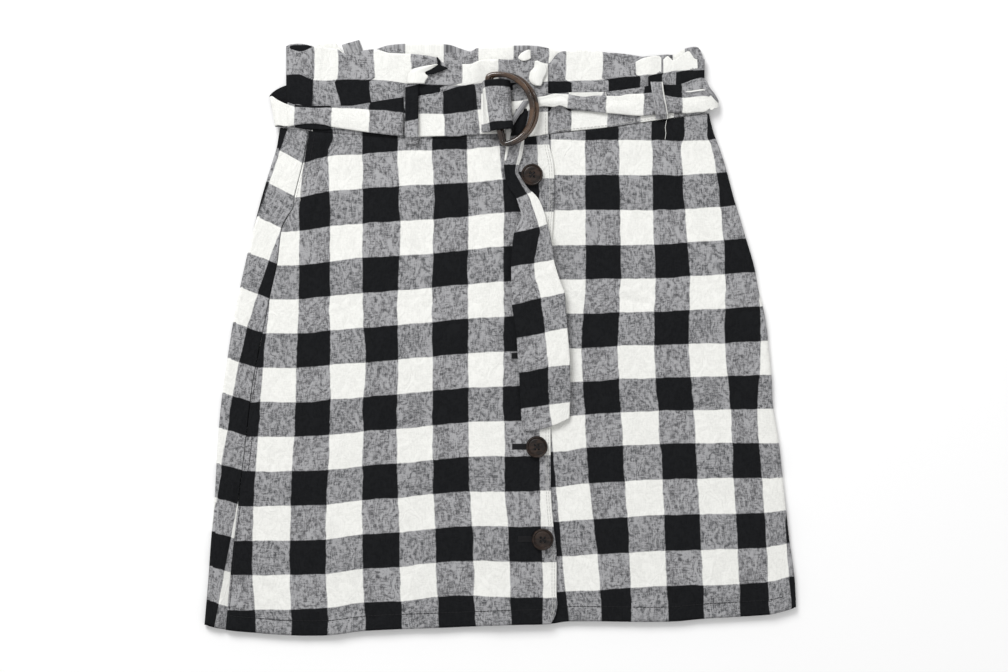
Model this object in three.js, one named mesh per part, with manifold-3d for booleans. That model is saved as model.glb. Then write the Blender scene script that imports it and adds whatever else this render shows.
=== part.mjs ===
// A button-front A-line skirt laid flat, front up, with its D-ring belt threaded and hanging.
// Millimetres, +Z up, waist towards +Y, hem towards -Y. The back panel lies on z = 0.
import * as THREE from 'three';
import { mergeVertices } from 'three/addons/utils/BufferGeometryUtils.js';
import Module from 'manifold-3d';

const wasm = await Module();
wasm.setup();

// ---- driving dimensions -------------------------------------------------------------------
const CLOTH = 1.2; // one layer of cloth as a wall
const BAND = 1.4; // the waistband, two layers pressed together
const SEAM = 0.3; // free space between pieces at a seam
const HOLLOW = 3.2; // flattened inside between back and front
const STAND_WIDTH = 28; // turned-under facing of the button stand
const UNDER_STAND = 34; // how far the other front runs under the button stand
const SEAM_INSET = 26; // side seam lies this far inside the right fold, on the underside
const VENT_UNDERLAP = 9; // back cloth passing under the front edge in the side vent
const VENT_TOP = -138; // y where the side vent opens
const BACK_RISE = 2.8; // how far the back waist is lifted by the belt and loops under it
const RISE_END = 36; // distance below the waist seam where the back lies on z = 0
const BUTTON_RADIUS = 9;
const BUTTON_THICK = 3.4;
const HOLE_RADIUS = 1.05;
const HOLE_OFFSET = 2.2;
const RING_ROD = 2.3; // radius of the D-ring's rod
const LOOP_WALL = 1.0;

const backZ = CLOTH / 2; // middle of the back wall where it lies flat
const frontZ = CLOTH + HOLLOW + CLOTH / 2; // middle of the front wall
const bandBackZ = BACK_RISE + BAND / 2; // middle of the back waistband
const bandFrontZ = 5.6; // middle of the front waistband
const bandTopZ = bandFrontZ + BAND / 2;
const beltBackZ = LOOP_WALL + SEAM + CLOTH / 2; // middle of the belt under the back
const beltZ = bandTopZ + 0.4 + CLOTH / 2; // middle of the belt's lower layer in front
const foldStep = CLOTH + SEAM; // from one layer of folded cloth to the next
const standTopZ = 6.9; // middle of the upper layer of the button stand
const standWaistZ = 8.0; // and beside the waistband

// outline of the body: left fold, left side seam and right fold at each height
const OUTLINE = [
  { y: 190.0, left: -178.0, seam: -157.0, right: 171.0 },
  { y: 170.8, left: -182.3, seam: -158.2, right: 175.3 },
  { y: 154.3, left: -185.4, seam: -160.6, right: 180.9 },
  { y: 141.9, left: -189.3, seam: -162.6, right: 185.2 },
  { y: 115.5, left: -197.3, seam: -165.8, right: 192.6 },
  { y: 100.6, left: -201.3, seam: -173.7, right: 197.2 },
  { y: 89.1, left: -204.2, seam: -180.8, right: 200.5 },
  { y: 60.2, left: -211.0, seam: -184.4, right: 209.1 },
  { y: 38.8, left: -215.7, seam: -188.9, right: 213.3 },
  { y: 14.0, left: -220.7, seam: -194.0, right: 219.0 },
  { y: -31.3, left: -227.6, seam: -203.1, right: 223.8 },
  { y: -56.1, left: -231.0, seam: -206.7, right: 225.1 },
  { y: -85.0, left: -233.5, seam: -210.0, right: 229.7 },
  { y: -137.8, left: -236.6, seam: -217.8, right: 235.5 },
  { y: -167.5, left: -239.2, seam: -220.3, right: 238.7 },
  { y: -198.0, left: -241.3, seam: -222.8, right: 242.9 },
  { y: -241.7, left: -245.0, seam: -226.8, right: 245.0 },
];

// seam between waistband and panels
const WAIST = [
  { x: -190, y: 173.5 },
  { x: -157, y: 169.9 },
  { x: -116, y: 166.6 },
  { x: -75, y: 164.2 },
  { x: -17, y: 163.3 },
  { x: 24, y: 165.0 },
  { x: 49, y: 168.5 },
  { x: 88, y: 172.7 },
  { x: 115, y: 176.5 },
  { x: 137, y: 179.8 },
  { x: 180, y: 186.0 },
];

// lower edge of the body
const HEM = [
  { x: -245, y: -237.6 },
  { x: -227, y: -241.7 },
  { x: -202, y: -244.2 },
  { x: -172, y: -246.3 },
  { x: -141, y: -246.1 },
  { x: -111, y: -242.5 },
  { x: -51, y: -240.1 },
  { x: 10, y: -237.6 },
  { x: 41, y: -236.8 },
  { x: 57, y: -234.7 },
  { x: 137, y: -235.1 },
  { x: 168, y: -232.6 },
  { x: 222, y: -228.5 },
  { x: 245, y: -222.8 },
];

// upper edge of the frill, in front and behind
const FRILL = [
  { x: -190, front: 238.4, back: 239.0 },
  { x: -177, front: 238.4, back: 240.1 },
  { x: -167, front: 235.9, back: 240.3 },
  { x: -155, front: 238.8, back: 240.1 },
  { x: -136, front: 237.6, back: 243.2 },
  { x: -115, front: 237.6, back: 240.1 },
  { x: -92, front: 234.3, back: 240.1 },
  { x: -74, front: 233.5, back: 240.9 },
  { x: -55, front: 231.0, back: 242.0 },
  { x: -41, front: 226.0, back: 242.0 },
  { x: -24, front: 225.2, back: 236.0 },
  { x: -13, front: 228.9, back: 238.2 },
  { x: 11, front: 228.5, back: 240.1 },
  { x: 29, front: 227.7, back: 240.1 },
  { x: 40, front: 222.6, back: 238.4 },
  { x: 52, front: 222.0, back: 235.1 },
  { x: 84, front: 224.0, back: 234.3 },
  { x: 128, front: 227.0, back: 231.8 },
  { x: 146, front: 229.0, back: 231.4 },
  { x: 153, front: 233.0, back: 237.6 },
  { x: 167, front: 236.0, back: 239.2 },
  { x: 185, front: 236.0, back: 239.2 },
];

// free edge of the button stand, down the front
const STAND_EDGE = [
  { y: 228, x: 39.6 },
  { y: 162, x: 40.0 },
  { y: 30, x: 40.8 },
  { y: -126, x: 41.7 },
  { y: -155, x: 43.8 },
  { y: -176, x: 46.3 },
  { y: -215, x: 46.3 },
  { y: -240, x: 42.0 },
];

// belt in front, from the left fold to the ring carrier: edges of its front and back halves
const BELT_LEFT = [
  { x: -177, top: 203, bottom: 176.5, behind: 203 },
  { x: -164, top: 200, bottom: 174.9, behind: 200 },
  { x: -140, top: 189.5, bottom: 174.3, behind: 191 },
  { x: -124, top: 188.3, bottom: 172.9, behind: 190 },
  { x: -108, top: 187.3, bottom: 169.5, behind: 193 },
  { x: -90, top: 186, bottom: 167.4, behind: 195.4 },
  { x: -80, top: 186, bottom: 166.4, behind: 197.4 },
];

// the belt where it lies open, between the left loop and the carrier
const BELT_OPEN = [
  { x: -79.6, top: 197.8, bottom: 166.0 },
  { x: -67, top: 198.8, bottom: 165.0 },
  { x: -50, top: 202.1, bottom: 165.8 },
  { x: -34, top: 206.0, bottom: 166.8 },
  { x: -20.5, top: 208.6, bottom: 167.6 },
];

// belt in front, from the rings to the right fold, folded in half along its length
const BELT_RIGHT = [
  { x: 17, top: 205.6, bottom: 187.0 },
  { x: 36, top: 202.6, bottom: 190.0 },
  { x: 49, top: 200.7, bottom: 190.6 },
  { x: 68, top: 201.9, bottom: 187.6 },
  { x: 87, top: 202.4, bottom: 185.3 },
  { x: 116, top: 204.8, bottom: 183.2 },
  { x: 133, top: 210.4, bottom: 184.0 },
  { x: 146, top: 206.4, bottom: 184.8 },
  { x: 160, top: 205.4, bottom: 184.8 },
  { x: 172, top: 204.9, bottom: 186.0 },
];

// hanging end of the belt: side edges and height over the front at each y
const TAIL = [
  { y: 186, left: 10.6, right: 22, z: 9.1 },
  { y: 170, left: 10.2, right: 20, z: 9.2 },
  { y: 155.9, left: 4.5, right: 15.3, z: 9.5 },
  { y: 146, left: 3.3, right: 15.3, z: 9.3 },
  { y: 136, left: 2.5, right: 14.0, z: 9.0 },
  { y: 125.4, left: 2.5, right: 15.0, z: 9.0 },
  { y: 113, left: 3.7, right: 25.2, z: 9.6 },
  { y: 100.6, left: 6.6, right: 33.4, z: 10.2 },
  { y: 86.6, left: 9.5, right: 37.5, z: 11.6 },
  { y: 74, left: 9.2, right: 39.0, z: 12.2 },
  { y: 62, left: 8.7, right: 41.7, z: 12.2 },
  { y: 36, left: 8.3, right: 53.2, z: 12.0 },
  { y: 20, left: 10.0, right: 54.4, z: 11.8 },
  { y: 0, left: 13.4, right: 56.1, z: 12.0 },
  { y: -16, left: 14.5, right: 57.0, z: 12.2 },
  { y: -30, left: 15.3, right: 57.5, z: 11.6 },
  { y: -48, left: 16.4, right: 57.4, z: 9.8 },
  { y: -62, left: 17.4, right: 56.8, z: 8.9 },
  { y: -75, left: 20.4, right: 53.0, z: 8.6 },
];

// buttons down the stand, from the top
const BUTTONS = [
  { x: 26.0, y: 133.7 },
  { x: 27.6, y: 57.8 },
  { x: 29.3, y: -15.7 },
  { x: 29.9, y: -90.6 },
  { x: 34.8, y: -166.8 },
];

// D-rings: middle of the straight bar, its half length, depth of the bow, and height
const RINGS = [
  { name: 'd_ring_lower', x: -5.2, y: 185.6, half: 28.5, depth: 37.0, z: 12.4, tip: 13.8, turn: 12 },
  { name: 'd_ring_upper', x: -8.6, y: 185.6, half: 28.5, depth: 37.0, z: 17.2, tip: 18.6, turn: 9 },
];

// ---- colours --------------------------------------------------------------------------------
const GINGHAM = { color: 0x8f8f91, roughness: 0.9, metalness: 0 };
const TORTOISE = { color: 0x5a4536, roughness: 0.3, metalness: 0 };
const HORN = { color: 0x3a2c25, roughness: 0.4, metalness: 0 };

const skirt = new THREE.Group();

function addPiece(name, geometry, finish) {
  const mesh = new THREE.Mesh(geometry, new THREE.MeshStandardMaterial(finish));
  mesh.name = name;
  skirt.add(mesh);
}

// ---- reading the tables ---------------------------------------------------------------------
function read(table, key, value, column) {
  const rising = table[table.length - 1][key] > table[0][key];
  const rows = rising ? table : [...table].reverse();
  if (value <= rows[0][key]) return rows[0][column];
  for (let i = 1; i < rows.length; i += 1) {
    if (value <= rows[i][key]) {
      const share = (value - rows[i - 1][key]) / (rows[i][key] - rows[i - 1][key]);
      return rows[i - 1][column] + share * (rows[i][column] - rows[i - 1][column]);
    }
  }
  return rows[rows.length - 1][column];
}

const mix = (a, b, share) => a + (b - a) * share;

function smooth(low, high, value) {
  const share = Math.min(1, Math.max(0, (value - low) / (high - low)));
  return share * share * (3 - 2 * share);
}

// ---- a wall of cloth around a grid of middle points ------------------------------------------
function clothWall(columns, rows, thickness, middle) {
  const grid = [];
  for (let j = 0; j < rows; j += 1) {
    const line = [];
    for (let i = 0; i < columns; i += 1) {
      line.push(middle(i / (columns - 1), j / (rows - 1), i, j));
    }
    grid.push(line);
  }
  const positions = [];
  const along = new THREE.Vector3();
  const across = new THREE.Vector3();
  for (const side of [0.5, -0.5]) {
    for (let j = 0; j < rows; j += 1) {
      for (let i = 0; i < columns; i += 1) {
        along.subVectors(grid[j][Math.min(i + 1, columns - 1)], grid[j][Math.max(i - 1, 0)]);
        across.subVectors(grid[Math.min(j + 1, rows - 1)][i], grid[Math.max(j - 1, 0)][i]);
        const normal = along.cross(across).normalize();
        const depth = typeof thickness === 'function' ? thickness(grid[j][i]) : thickness;
        const point = grid[j][i].clone().addScaledVector(normal, side * depth);
        positions.push(point.x, point.y, point.z);
      }
    }
  }
  const back = rows * columns;
  const index = [];
  const quad = (a, b, c, d) => index.push(a, b, c, a, c, d);
  for (let j = 0; j < rows - 1; j += 1) {
    for (let i = 0; i < columns - 1; i += 1) {
      const a = j * columns + i;
      quad(a, a + 1, a + 1 + columns, a + columns);
      quad(back + a, back + a + columns, back + a + 1 + columns, back + a + 1);
    }
  }
  for (let i = 0; i < columns - 1; i += 1) {
    const last = (rows - 1) * columns + i;
    quad(i + 1, i, back + i, back + i + 1);
    quad(last, last + 1, back + last + 1, back + last);
  }
  for (let j = 0; j < rows - 1; j += 1) {
    const first = j * columns;
    const last = first + columns - 1;
    quad(first, first + columns, back + first + columns, back + first);
    quad(last + columns, last, back + last, back + last + columns);
  }
  return facingOut(positions, index);
}

// a closed mesh with its faces pointing out
function facingOut(positions, index) {
  let volume = 0;
  const a = new THREE.Vector3();
  const b = new THREE.Vector3();
  const c = new THREE.Vector3();
  for (let k = 0; k < index.length; k += 3) {
    a.fromArray(positions, index[k] * 3);
    b.fromArray(positions, index[k + 1] * 3);
    c.fromArray(positions, index[k + 2] * 3);
    volume += a.dot(b.cross(c));
  }
  if (volume < 0) {
    for (let k = 0; k < index.length; k += 3) {
      [index[k], index[k + 1]] = [index[k + 1], index[k]];
    }
  }
  const geometry = new THREE.BufferGeometry();
  geometry.setAttribute('position', new THREE.Float32BufferAttribute(positions, 3));
  geometry.setIndex(index);
  return geometry;
}

// ---- the body's shape ------------------------------------------------------------------------
const waistY = (x) => read(WAIST, 'x', x, 'y');
const hemY = (x) => read(HEM, 'x', x, 'y');
const outline = (y, column) => read(OUTLINE, 'y', y, column);
const standEdge = (y) => read(STAND_EDGE, 'y', y, 'x');

// the point of a panel at a share of its depth, on the line that xAt gives
function panelPoint(xAt, share) {
  let x = xAt(0);
  let y = 0;
  for (let pass = 0; pass < 6; pass += 1) {
    y = mix(waistY(x) - SEAM, hemY(x), share);
    x = xAt(y);
  }
  return { x, y };
}

const rise = (x, y) => 1 - smooth(6, RISE_END, waistY(x) - y);
const backHeight = (x, y) => mix(backZ, bandBackZ, rise(x, y));
const frontHeight = (x, y) => mix(frontZ, bandFrontZ, rise(x, y));

// a section that runs under the body, round a fold and back over it
// reach: distance from the fold; negative below, positive above, in between round the fold
function roundFold(fold, inwards, low, high, reach) {
  const radius = (high - low) / 2;
  const turn = Math.min(1, Math.max(-1, reach.turn));
  const angle = (turn * Math.PI) / 2;
  const centre = fold + inwards * (radius + CLOTH / 2);
  return {
    x: centre - inwards * radius * Math.cos(angle) + inwards * reach.away,
    z: (low + high) / 2 + radius * Math.sin(angle),
  };
}

// ---- back panel: under the skirt, round the left fold, up to the left side seam ---------------
const BACK_FLAT = 13; // columns along the underside
const FOLD_STEPS = 6; // columns round a fold
const BACK_RETURN = 7; // columns from the fold to the side seam
const backColumns = BACK_FLAT + FOLD_STEPS + BACK_RETURN - 1;

function backPoint(u, v, i) {
  const rightEnd = (y) => outline(y, 'right') - SEAM_INSET;
  if (i < BACK_FLAT) {
    const share = i / (BACK_FLAT - 1);
    const turnIn = (y, x) => outline(y, 'left') + CLOTH / 2 + foldRadius(x, y);
    const spot = panelPoint((y) => mix(rightEnd(y), turnIn(y, -200), share), v);
    return new THREE.Vector3(spot.x, spot.y, backHeight(spot.x, spot.y));
  }
  const step = i - BACK_FLAT + 1;
  if (step <= FOLD_STEPS) {
    const turn = -1 + (2 * step) / FOLD_STEPS;
    const spot = panelPoint((y) => outline(y, 'left') + CLOTH / 2, v);
    const low = backHeight(spot.x, spot.y);
    const high = frontHeight(spot.x, spot.y);
    const bend = roundFold(outline(spot.y, 'left'), 1, low, high, { turn, away: 0 });
    return new THREE.Vector3(bend.x, spot.y, bend.z);
  }
  const share = (step - FOLD_STEPS) / (BACK_RETURN - 1);
  const underlap = (y) => 1 - smooth(VENT_TOP - 18, VENT_TOP + 2, y);
  const seamEnd = (y) => outline(y, 'seam') - 2 * SEAM + VENT_UNDERLAP * underlap(y);
  const start = (y) => outline(y, 'left') + CLOTH / 2 + foldRadius(-200, y);
  const spot = panelPoint((y) => mix(start(y), seamEnd(y), share), v);
  const past = spot.x - outline(spot.y, 'seam');
  const duck = smooth(-9, -3, past) * (1 - smooth(VENT_TOP + 4, VENT_TOP + 30, spot.y)) * (foldStep + 0.2);
  return new THREE.Vector3(spot.x, spot.y, frontHeight(spot.x, spot.y) - duck);
}

function foldRadius(x, y) {
  return (frontHeight(x, y) - backHeight(x, y)) / 2;
}

addPiece('back_panel', clothWall(backColumns, 22, CLOTH, backPoint), GINGHAM);

// ---- left front: from the side seam to the button stand, its edge turned under -----------------
const LEFT_COLUMNS = 12;
const TURN_STEPS = 4;
const FACING_COLUMNS = 3;
const leftColumns = LEFT_COLUMNS + TURN_STEPS + FACING_COLUMNS - 1;
const standRise = (x, y) => smooth(-32, 4, x - standEdge(y) + 41);
const standHeight = (x, y) => mix(standTopZ, standWaistZ, rise(x, y));

function leftFrontPoint(u, v, i) {
  const facingGap = foldStep / 2;
  if (i < LEFT_COLUMNS) {
    const share = i / (LEFT_COLUMNS - 1);
    const end = (y) => standEdge(y) - CLOTH / 2 - facingGap;
    const spot = panelPoint((y) => mix(outline(y, 'seam'), end(y), share), v);
    const height = mix(frontHeight(spot.x, spot.y), standHeight(spot.x, spot.y), standRise(spot.x, spot.y));
    return new THREE.Vector3(spot.x, spot.y, height);
  }
  const step = i - LEFT_COLUMNS + 1;
  const spot = panelPoint((y) => standEdge(y) - CLOTH / 2 - facingGap, v);
  const upper = standHeight(spot.x, spot.y);
  if (step <= TURN_STEPS) {
    const angle = Math.PI / 2 - (Math.PI * step) / TURN_STEPS;
    const x = spot.x + facingGap * Math.cos(angle);
    return new THREE.Vector3(x, spot.y, upper - facingGap + facingGap * Math.sin(angle));
  }
  const share = (step - TURN_STEPS) / (FACING_COLUMNS - 1);
  const inner = panelPoint((y) => standEdge(y) - CLOTH / 2 - facingGap - STAND_WIDTH * share, v);
  return new THREE.Vector3(inner.x, inner.y, standHeight(inner.x, inner.y) - foldStep);
}

addPiece('front_left_panel', clothWall(leftColumns, 22, CLOTH, leftFrontPoint), GINGHAM);

// ---- right front: from under the stand, round the right fold, to the seam on the underside -----
const RIGHT_COLUMNS = 10;
const RIGHT_RETURN = 3;
const rightColumns = RIGHT_COLUMNS + FOLD_STEPS + RIGHT_RETURN - 1;

function rightHeight(x, y) {
  const clear = smooth(3, 18, x - standEdge(y));
  return mix(standHeight(x, y) - 2 * foldStep, frontHeight(x, y), clear);
}

function rightFrontPoint(u, v, i) {
  const foldIn = (y) => outline(y, 'right') - CLOTH / 2 - foldRadius(170, y);
  if (i < RIGHT_COLUMNS) {
    const share = i / (RIGHT_COLUMNS - 1);
    const start = (y) => standEdge(y) - UNDER_STAND;
    const place = (y) => {
      if (share < 0.34) return mix(start(y), standEdge(y) + 4, share / 0.34);
      return mix(standEdge(y) + 4, foldIn(y), (share - 0.34) / 0.66);
    };
    const spot = panelPoint(place, v);
    return new THREE.Vector3(spot.x, spot.y, rightHeight(spot.x, spot.y));
  }
  const step = i - RIGHT_COLUMNS + 1;
  if (step <= FOLD_STEPS) {
    const turn = 1 - (2 * step) / FOLD_STEPS;
    const spot = panelPoint((y) => outline(y, 'right') - CLOTH / 2, v);
    const low = backHeight(spot.x, spot.y);
    const high = frontHeight(spot.x, spot.y);
    const bend = roundFold(outline(spot.y, 'right'), -1, low, high, { turn, away: 0 });
    return new THREE.Vector3(bend.x, spot.y, bend.z);
  }
  const share = (step - FOLD_STEPS) / (RIGHT_RETURN - 1);
  const end = (y) => outline(y, 'right') - SEAM_INSET + SEAM;
  const spot = panelPoint((y) => mix(foldIn(y), end(y), share), v);
  return new THREE.Vector3(spot.x, spot.y, backHeight(spot.x, spot.y));
}

addPiece('front_right_panel', clothWall(rightColumns, 22, CLOTH, rightFrontPoint), GINGHAM);

// ---- pocket bag: two layers folded along their inner edge, between the panels -------------------
const BAG = { outer: -199, inner: -92, top: 130, bottom: -38, wall: 0.8, gap: 0.3 };

function bagPoint(u, v, i) {
  const y = mix(BAG.top, BAG.bottom, v);
  const narrow = 38 * (1 - smooth(-38, 60, y)) + 26 * smooth(102, 130, y);
  const inner = BAG.inner - narrow * 0.4;
  const outer = Math.max(BAG.outer, outline(y, 'left') + 9) + 12 * smooth(60, 130, y);
  const step = (BAG.wall + BAG.gap) / 2;
  const middle = backHeight(-150, y) + CLOTH / 2 + 0.4 + BAG.wall / 2 + step;
  if (i < 4) return new THREE.Vector3(mix(outer, inner, i / 3), y, middle - step);
  if (i < 7) {
    const angle = -Math.PI / 2 + (Math.PI * (i - 3)) / 4;
    return new THREE.Vector3(inner + step * Math.cos(angle), y, middle + step * Math.sin(angle));
  }
  return new THREE.Vector3(mix(inner, outer, (i - 7) / 3), y, middle + step);
}

addPiece('pocket_bag_left', clothWall(11, 8, BAG.wall, bagPoint), GINGHAM);

// ---- waistband with its frill ---------------------------------------------------------------------
const BAND_ROWS = 9;
const FRILL_START = 0.62; // share of the band's height where the frill begins
const FRILL_WAVE = 21; // distance from one frill fold to the next
const FRILL_DEPTH = 1.5;

function frillWave(x, v, phase) {
  const grow = smooth(FRILL_START, 1, v);
  const ripple = 0.5 + 0.5 * Math.sin((x / FRILL_WAVE) * 2 * Math.PI + phase + 1.3 * Math.sin(x / 31));
  return grow * ripple * FRILL_DEPTH;
}

function bandPoint(x, v, z, side, lively = 1) {
  const top = read(FRILL, 'x', x, side);
  const y = mix(waistY(x) + SEAM, top, v);
  const wave = side === 'front' ? frillWave(x, v, 0) : -frillWave(x, v, 2) * 0.6;
  return new THREE.Vector3(x, y, z + wave * lively);
}

const BAND_LEFT = -177.0; // left fold of the waistband
const BAND_RIGHT = 168.5; // right fold
const BAND_SEAM_LEFT = -154.5; // side seam of the waistband in front
const BAND_SEAM_RIGHT = BAND_RIGHT - SEAM_INSET; // and underneath, on the right
const bandRadius = (bandFrontZ - bandBackZ) / 2;

function bandFold(fold, inwards, turn, v) {
  const angle = (turn * Math.PI) / 2;
  const x = fold + inwards * (BAND / 2 + bandRadius * (1 - Math.cos(angle)));
  const front = read(FRILL, 'x', fold, 'front');
  const back = read(FRILL, 'x', fold, 'back');
  const top = mix(back, front, (turn + 1) / 2);
  const z = (bandBackZ + bandFrontZ) / 2 + bandRadius * Math.sin(angle);
  const lift = frillWave(x, v, 0) * smooth(0, 1, turn) - frillWave(x, v, 2) * 0.6 * smooth(0, 1, -turn);
  return new THREE.Vector3(x, mix(waistY(fold) + SEAM, top, v), z + lift);
}

const foldStart = BAND / 2 + bandRadius;

function bandBackPoint(u, v, i) {
  if (i < 26) {
    const x = mix(BAND_SEAM_RIGHT - SEAM, BAND_LEFT + foldStart, i / 25);
    return bandPoint(x, v, bandBackZ, 'back');
  }
  if (i < 30) return bandFold(BAND_LEFT, 1, -1 + (2 * (i - 25)) / 5, v);
  const x = mix(BAND_LEFT + foldStart, BAND_SEAM_LEFT - SEAM, (i - 30) / 3);
  return bandPoint(x, v, bandFrontZ, 'front');
}

addPiece('waistband_back', clothWall(34, BAND_ROWS, BAND, bandBackPoint), GINGHAM);

const BAND_LAP = 22; // how far one end of the waistband runs under the other
const BAND_END = 39.2; // free end of the upper one
const bandStep = (x) => (BAND + SEAM) * smooth(BAND_END - BAND_LAP - 16, BAND_END - BAND_LAP - 2, x);

function bandLeftPoint(u, v) {
  const x = mix(BAND_SEAM_LEFT, BAND_END, u);
  return bandPoint(x, v, bandFrontZ + bandStep(x), 'front');
}

addPiece('waistband_front_left', clothWall(24, BAND_ROWS, BAND, bandLeftPoint), GINGHAM);

function bandRightPoint(u, v, i) {
  if (i < 18) {
    const x = mix(BAND_END - BAND_LAP, BAND_RIGHT - foldStart, i / 17);
    return bandPoint(x, v, bandFrontZ, 'front', smooth(BAND_END - 2, BAND_END + 14, x));
  }
  if (i < 22) return bandFold(BAND_RIGHT, -1, 1 - (2 * (i - 17)) / 5, v);
  const x = mix(BAND_RIGHT - foldStart, BAND_SEAM_RIGHT, (i - 22) / 3);
  return bandPoint(x, v, bandBackZ, 'back');
}

addPiece('waistband_front_right', clothWall(26, BAND_ROWS, BAND, bandRightPoint), GINGHAM);

// ---- belt -----------------------------------------------------------------------------------------
const BELT_END_LEFT = -189.7; // outermost left point of the belt
const BELT_END_RIGHT = 178.6;
const BELT_WRAP = 22; // how far the front stretches reach round under the skirt
const beltRadius = (beltZ - beltBackZ) / 2;
const lapZ = (x) => bandStep(x) * (1 - smooth(BAND_END + 10, BAND_END + 26, x));

// across a belt folded in half along its length: back half, fold at the lower edge, front half
function foldedAcross(row, i) {
  const radius = foldStep / 2;
  const low = row.bottom + CLOTH / 2 + radius;
  if (i < 3) return { y: mix(row.behind, low, i / 2), z: -radius };
  if (i < 6) {
    const angle = -Math.PI / 2 - (Math.PI * (i - 2)) / 4;
    return { y: low + radius * Math.cos(angle), z: radius * Math.sin(angle) };
  }
  return { y: mix(low, row.top, (i - 6) / 2), z: radius };
}

function beltRow(table, x) {
  return {
    top: read(table, 'x', x, 'top'),
    bottom: read(table, 'x', x, 'bottom'),
    behind: table === BELT_LEFT ? read(table, 'x', x, 'behind') : read(table, 'x', x, 'top'),
  };
}

const foldedZ = beltZ + foldStep / 2; // middle of the belt folded in half

// left stretch in front, folded in half, opening towards the loop
function beltLeftPoint(u, v, i, j) {
  const x = mix(-175.6, -80, j / 11);
  const across = foldedAcross(beltRow(BELT_LEFT, x), i);
  return new THREE.Vector3(x, across.y, foldedZ + across.z);
}

addPiece('belt_left', clothWall(9, 12, CLOTH, beltLeftPoint), GINGHAM);

// the belt round the left side, lying open as a flat turn
const TURN_LEFT = { top: 202.6, bottom: 171.0, frontX: -176.2, under: -168 };

function beltTurnLeft(u, v, i, j) {
  const y = mix(TURN_LEFT.bottom + 3, TURN_LEFT.top, u);
  const centre = BELT_END_LEFT + CLOTH / 2 + beltRadius;
  if (j < 3) return new THREE.Vector3(mix(TURN_LEFT.under, centre, j / 2), y, beltBackZ);
  if (j < 8) {
    const angle = -Math.PI / 2 - (Math.PI * (j - 2)) / 6;
    return new THREE.Vector3(
      centre + beltRadius * Math.cos(angle),
      y,
      (beltZ + beltBackZ) / 2 + beltRadius * Math.sin(angle),
    );
  }
  return new THREE.Vector3(mix(centre, TURN_LEFT.frontX, (j - 8) / 1), y, beltZ);
}

addPiece('belt_turn_left', clothWall(4, 10, CLOTH, beltTurnLeft), GINGHAM);

// the belt under the back
const BELT_BACK = { top: 205.5, bottom: 176.5 };

function beltBackPoint(u, v) {
  const x = mix(TURN_LEFT.under + SEAM, BELT_END_RIGHT - BELT_WRAP - SEAM, v);
  const slope = 3 * smooth(-160, 150, x);
  return new THREE.Vector3(x, mix(BELT_BACK.bottom, BELT_BACK.top, u) + slope, beltBackZ);
}

addPiece('belt_back', clothWall(3, 10, CLOTH, beltBackPoint), GINGHAM);

// the belt between the left loop and the rings, lying open
function beltOpenPoint(u, v) {
  const x = mix(-79.6, -27.7, v);
  const y = mix(read(BELT_OPEN, 'x', x, 'bottom'), read(BELT_OPEN, 'x', x, 'top'), u);
  return new THREE.Vector3(x, y, beltZ);
}

addPiece('belt_open', clothWall(4, 8, CLOTH, beltOpenPoint), GINGHAM);

// its end, folded round the straight bars of the rings and stitched down on itself
const CARRIER = { lowTop: 209.0, lowBottom: 167.4, highTop: 211.6, highBottom: 169.6 };
const CARRIER_PATH = [
  { x: -26.2, z: beltZ, high: 0 },
  { x: -12.0, z: beltZ, high: 0.1 },
  { x: 0.0, z: beltZ + 0.4, high: 0.2 },
  { x: 6.0, z: beltZ + 1.4, high: 0.3 },
  { x: 8.6, z: 10.6, high: 0.4 },
  { x: 8.8, z: 14.5, high: 0.5 },
  { x: 6.0, z: 18.4, high: 0.6 },
  { x: 0.0, z: 20.4, high: 0.7 },
  { x: -7.0, z: 20.5, high: 0.8 },
  { x: -13.6, z: 20.0, high: 0.9 },
  { x: -17.3, z: 16.8, high: 1 },
  { x: -18.7, z: 12.4, high: 1 },
  { x: -20.2, z: beltZ + foldStep, high: 1 },
  { x: -25.4, z: beltZ + foldStep, high: 1 },
];

function carrierPoint(u, v, i, j) {
  const row = CARRIER_PATH[j];
  const bottom = mix(CARRIER.lowBottom, CARRIER.highBottom, row.high);
  const top = mix(CARRIER.lowTop, CARRIER.highTop, row.high);
  return new THREE.Vector3(row.x - 0.9 + 1.8 * u, mix(top, bottom, u), row.z);
}

addPiece('belt_carrier', clothWall(3, CARRIER_PATH.length, CLOTH, carrierPoint), GINGHAM);

// right stretch in front, folded in half, from inside the rings to the right side
function beltRightPoint(u, v, i, j) {
  const x = mix(15.2, 168, j / 15);
  const across = foldedAcross(beltRow(BELT_RIGHT, x), i);
  return new THREE.Vector3(x, across.y, foldedZ + across.z + lapZ(x));
}

addPiece('belt_right', clothWall(9, 16, CLOTH, beltRightPoint), GINGHAM);

// round the right side, and a short way under the back
const TURN_RIGHT = { top: 206.0, bottom: 186.5, frontX: 168.6 };

function beltTurnRight(u, v, i, j) {
  const y = mix(TURN_RIGHT.top, TURN_RIGHT.bottom, u);
  const centre = BELT_END_RIGHT - CLOTH / 2 - beltRadius;
  if (j < 3) {
    const x = mix(BELT_END_RIGHT - BELT_WRAP, centre, j / 2);
    return new THREE.Vector3(x, y, beltBackZ);
  }
  if (j < 8) {
    const angle = -Math.PI / 2 + (Math.PI * (j - 2)) / 6;
    return new THREE.Vector3(
      centre + beltRadius * Math.cos(angle),
      y,
      (beltZ + beltBackZ) / 2 + beltRadius * Math.sin(angle),
    );
  }
  return new THREE.Vector3(mix(centre, TURN_RIGHT.frontX, j - 8), y, beltZ);
}

addPiece('belt_turn_right', clothWall(3, 10, CLOTH, beltTurnRight), GINGHAM);

// hanging end: from under the rings, over the buttons, to its slanted tip
function tailPoint(u, v, i, j) {
  const row = TAIL[j];
  const x = mix(row.left, row.right, u);
  const tilt = j === TAIL.length - 1 ? mix(-2.8, 2.8, u) : 0;
  return new THREE.Vector3(x, row.y + tilt, row.z);
}

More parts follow.
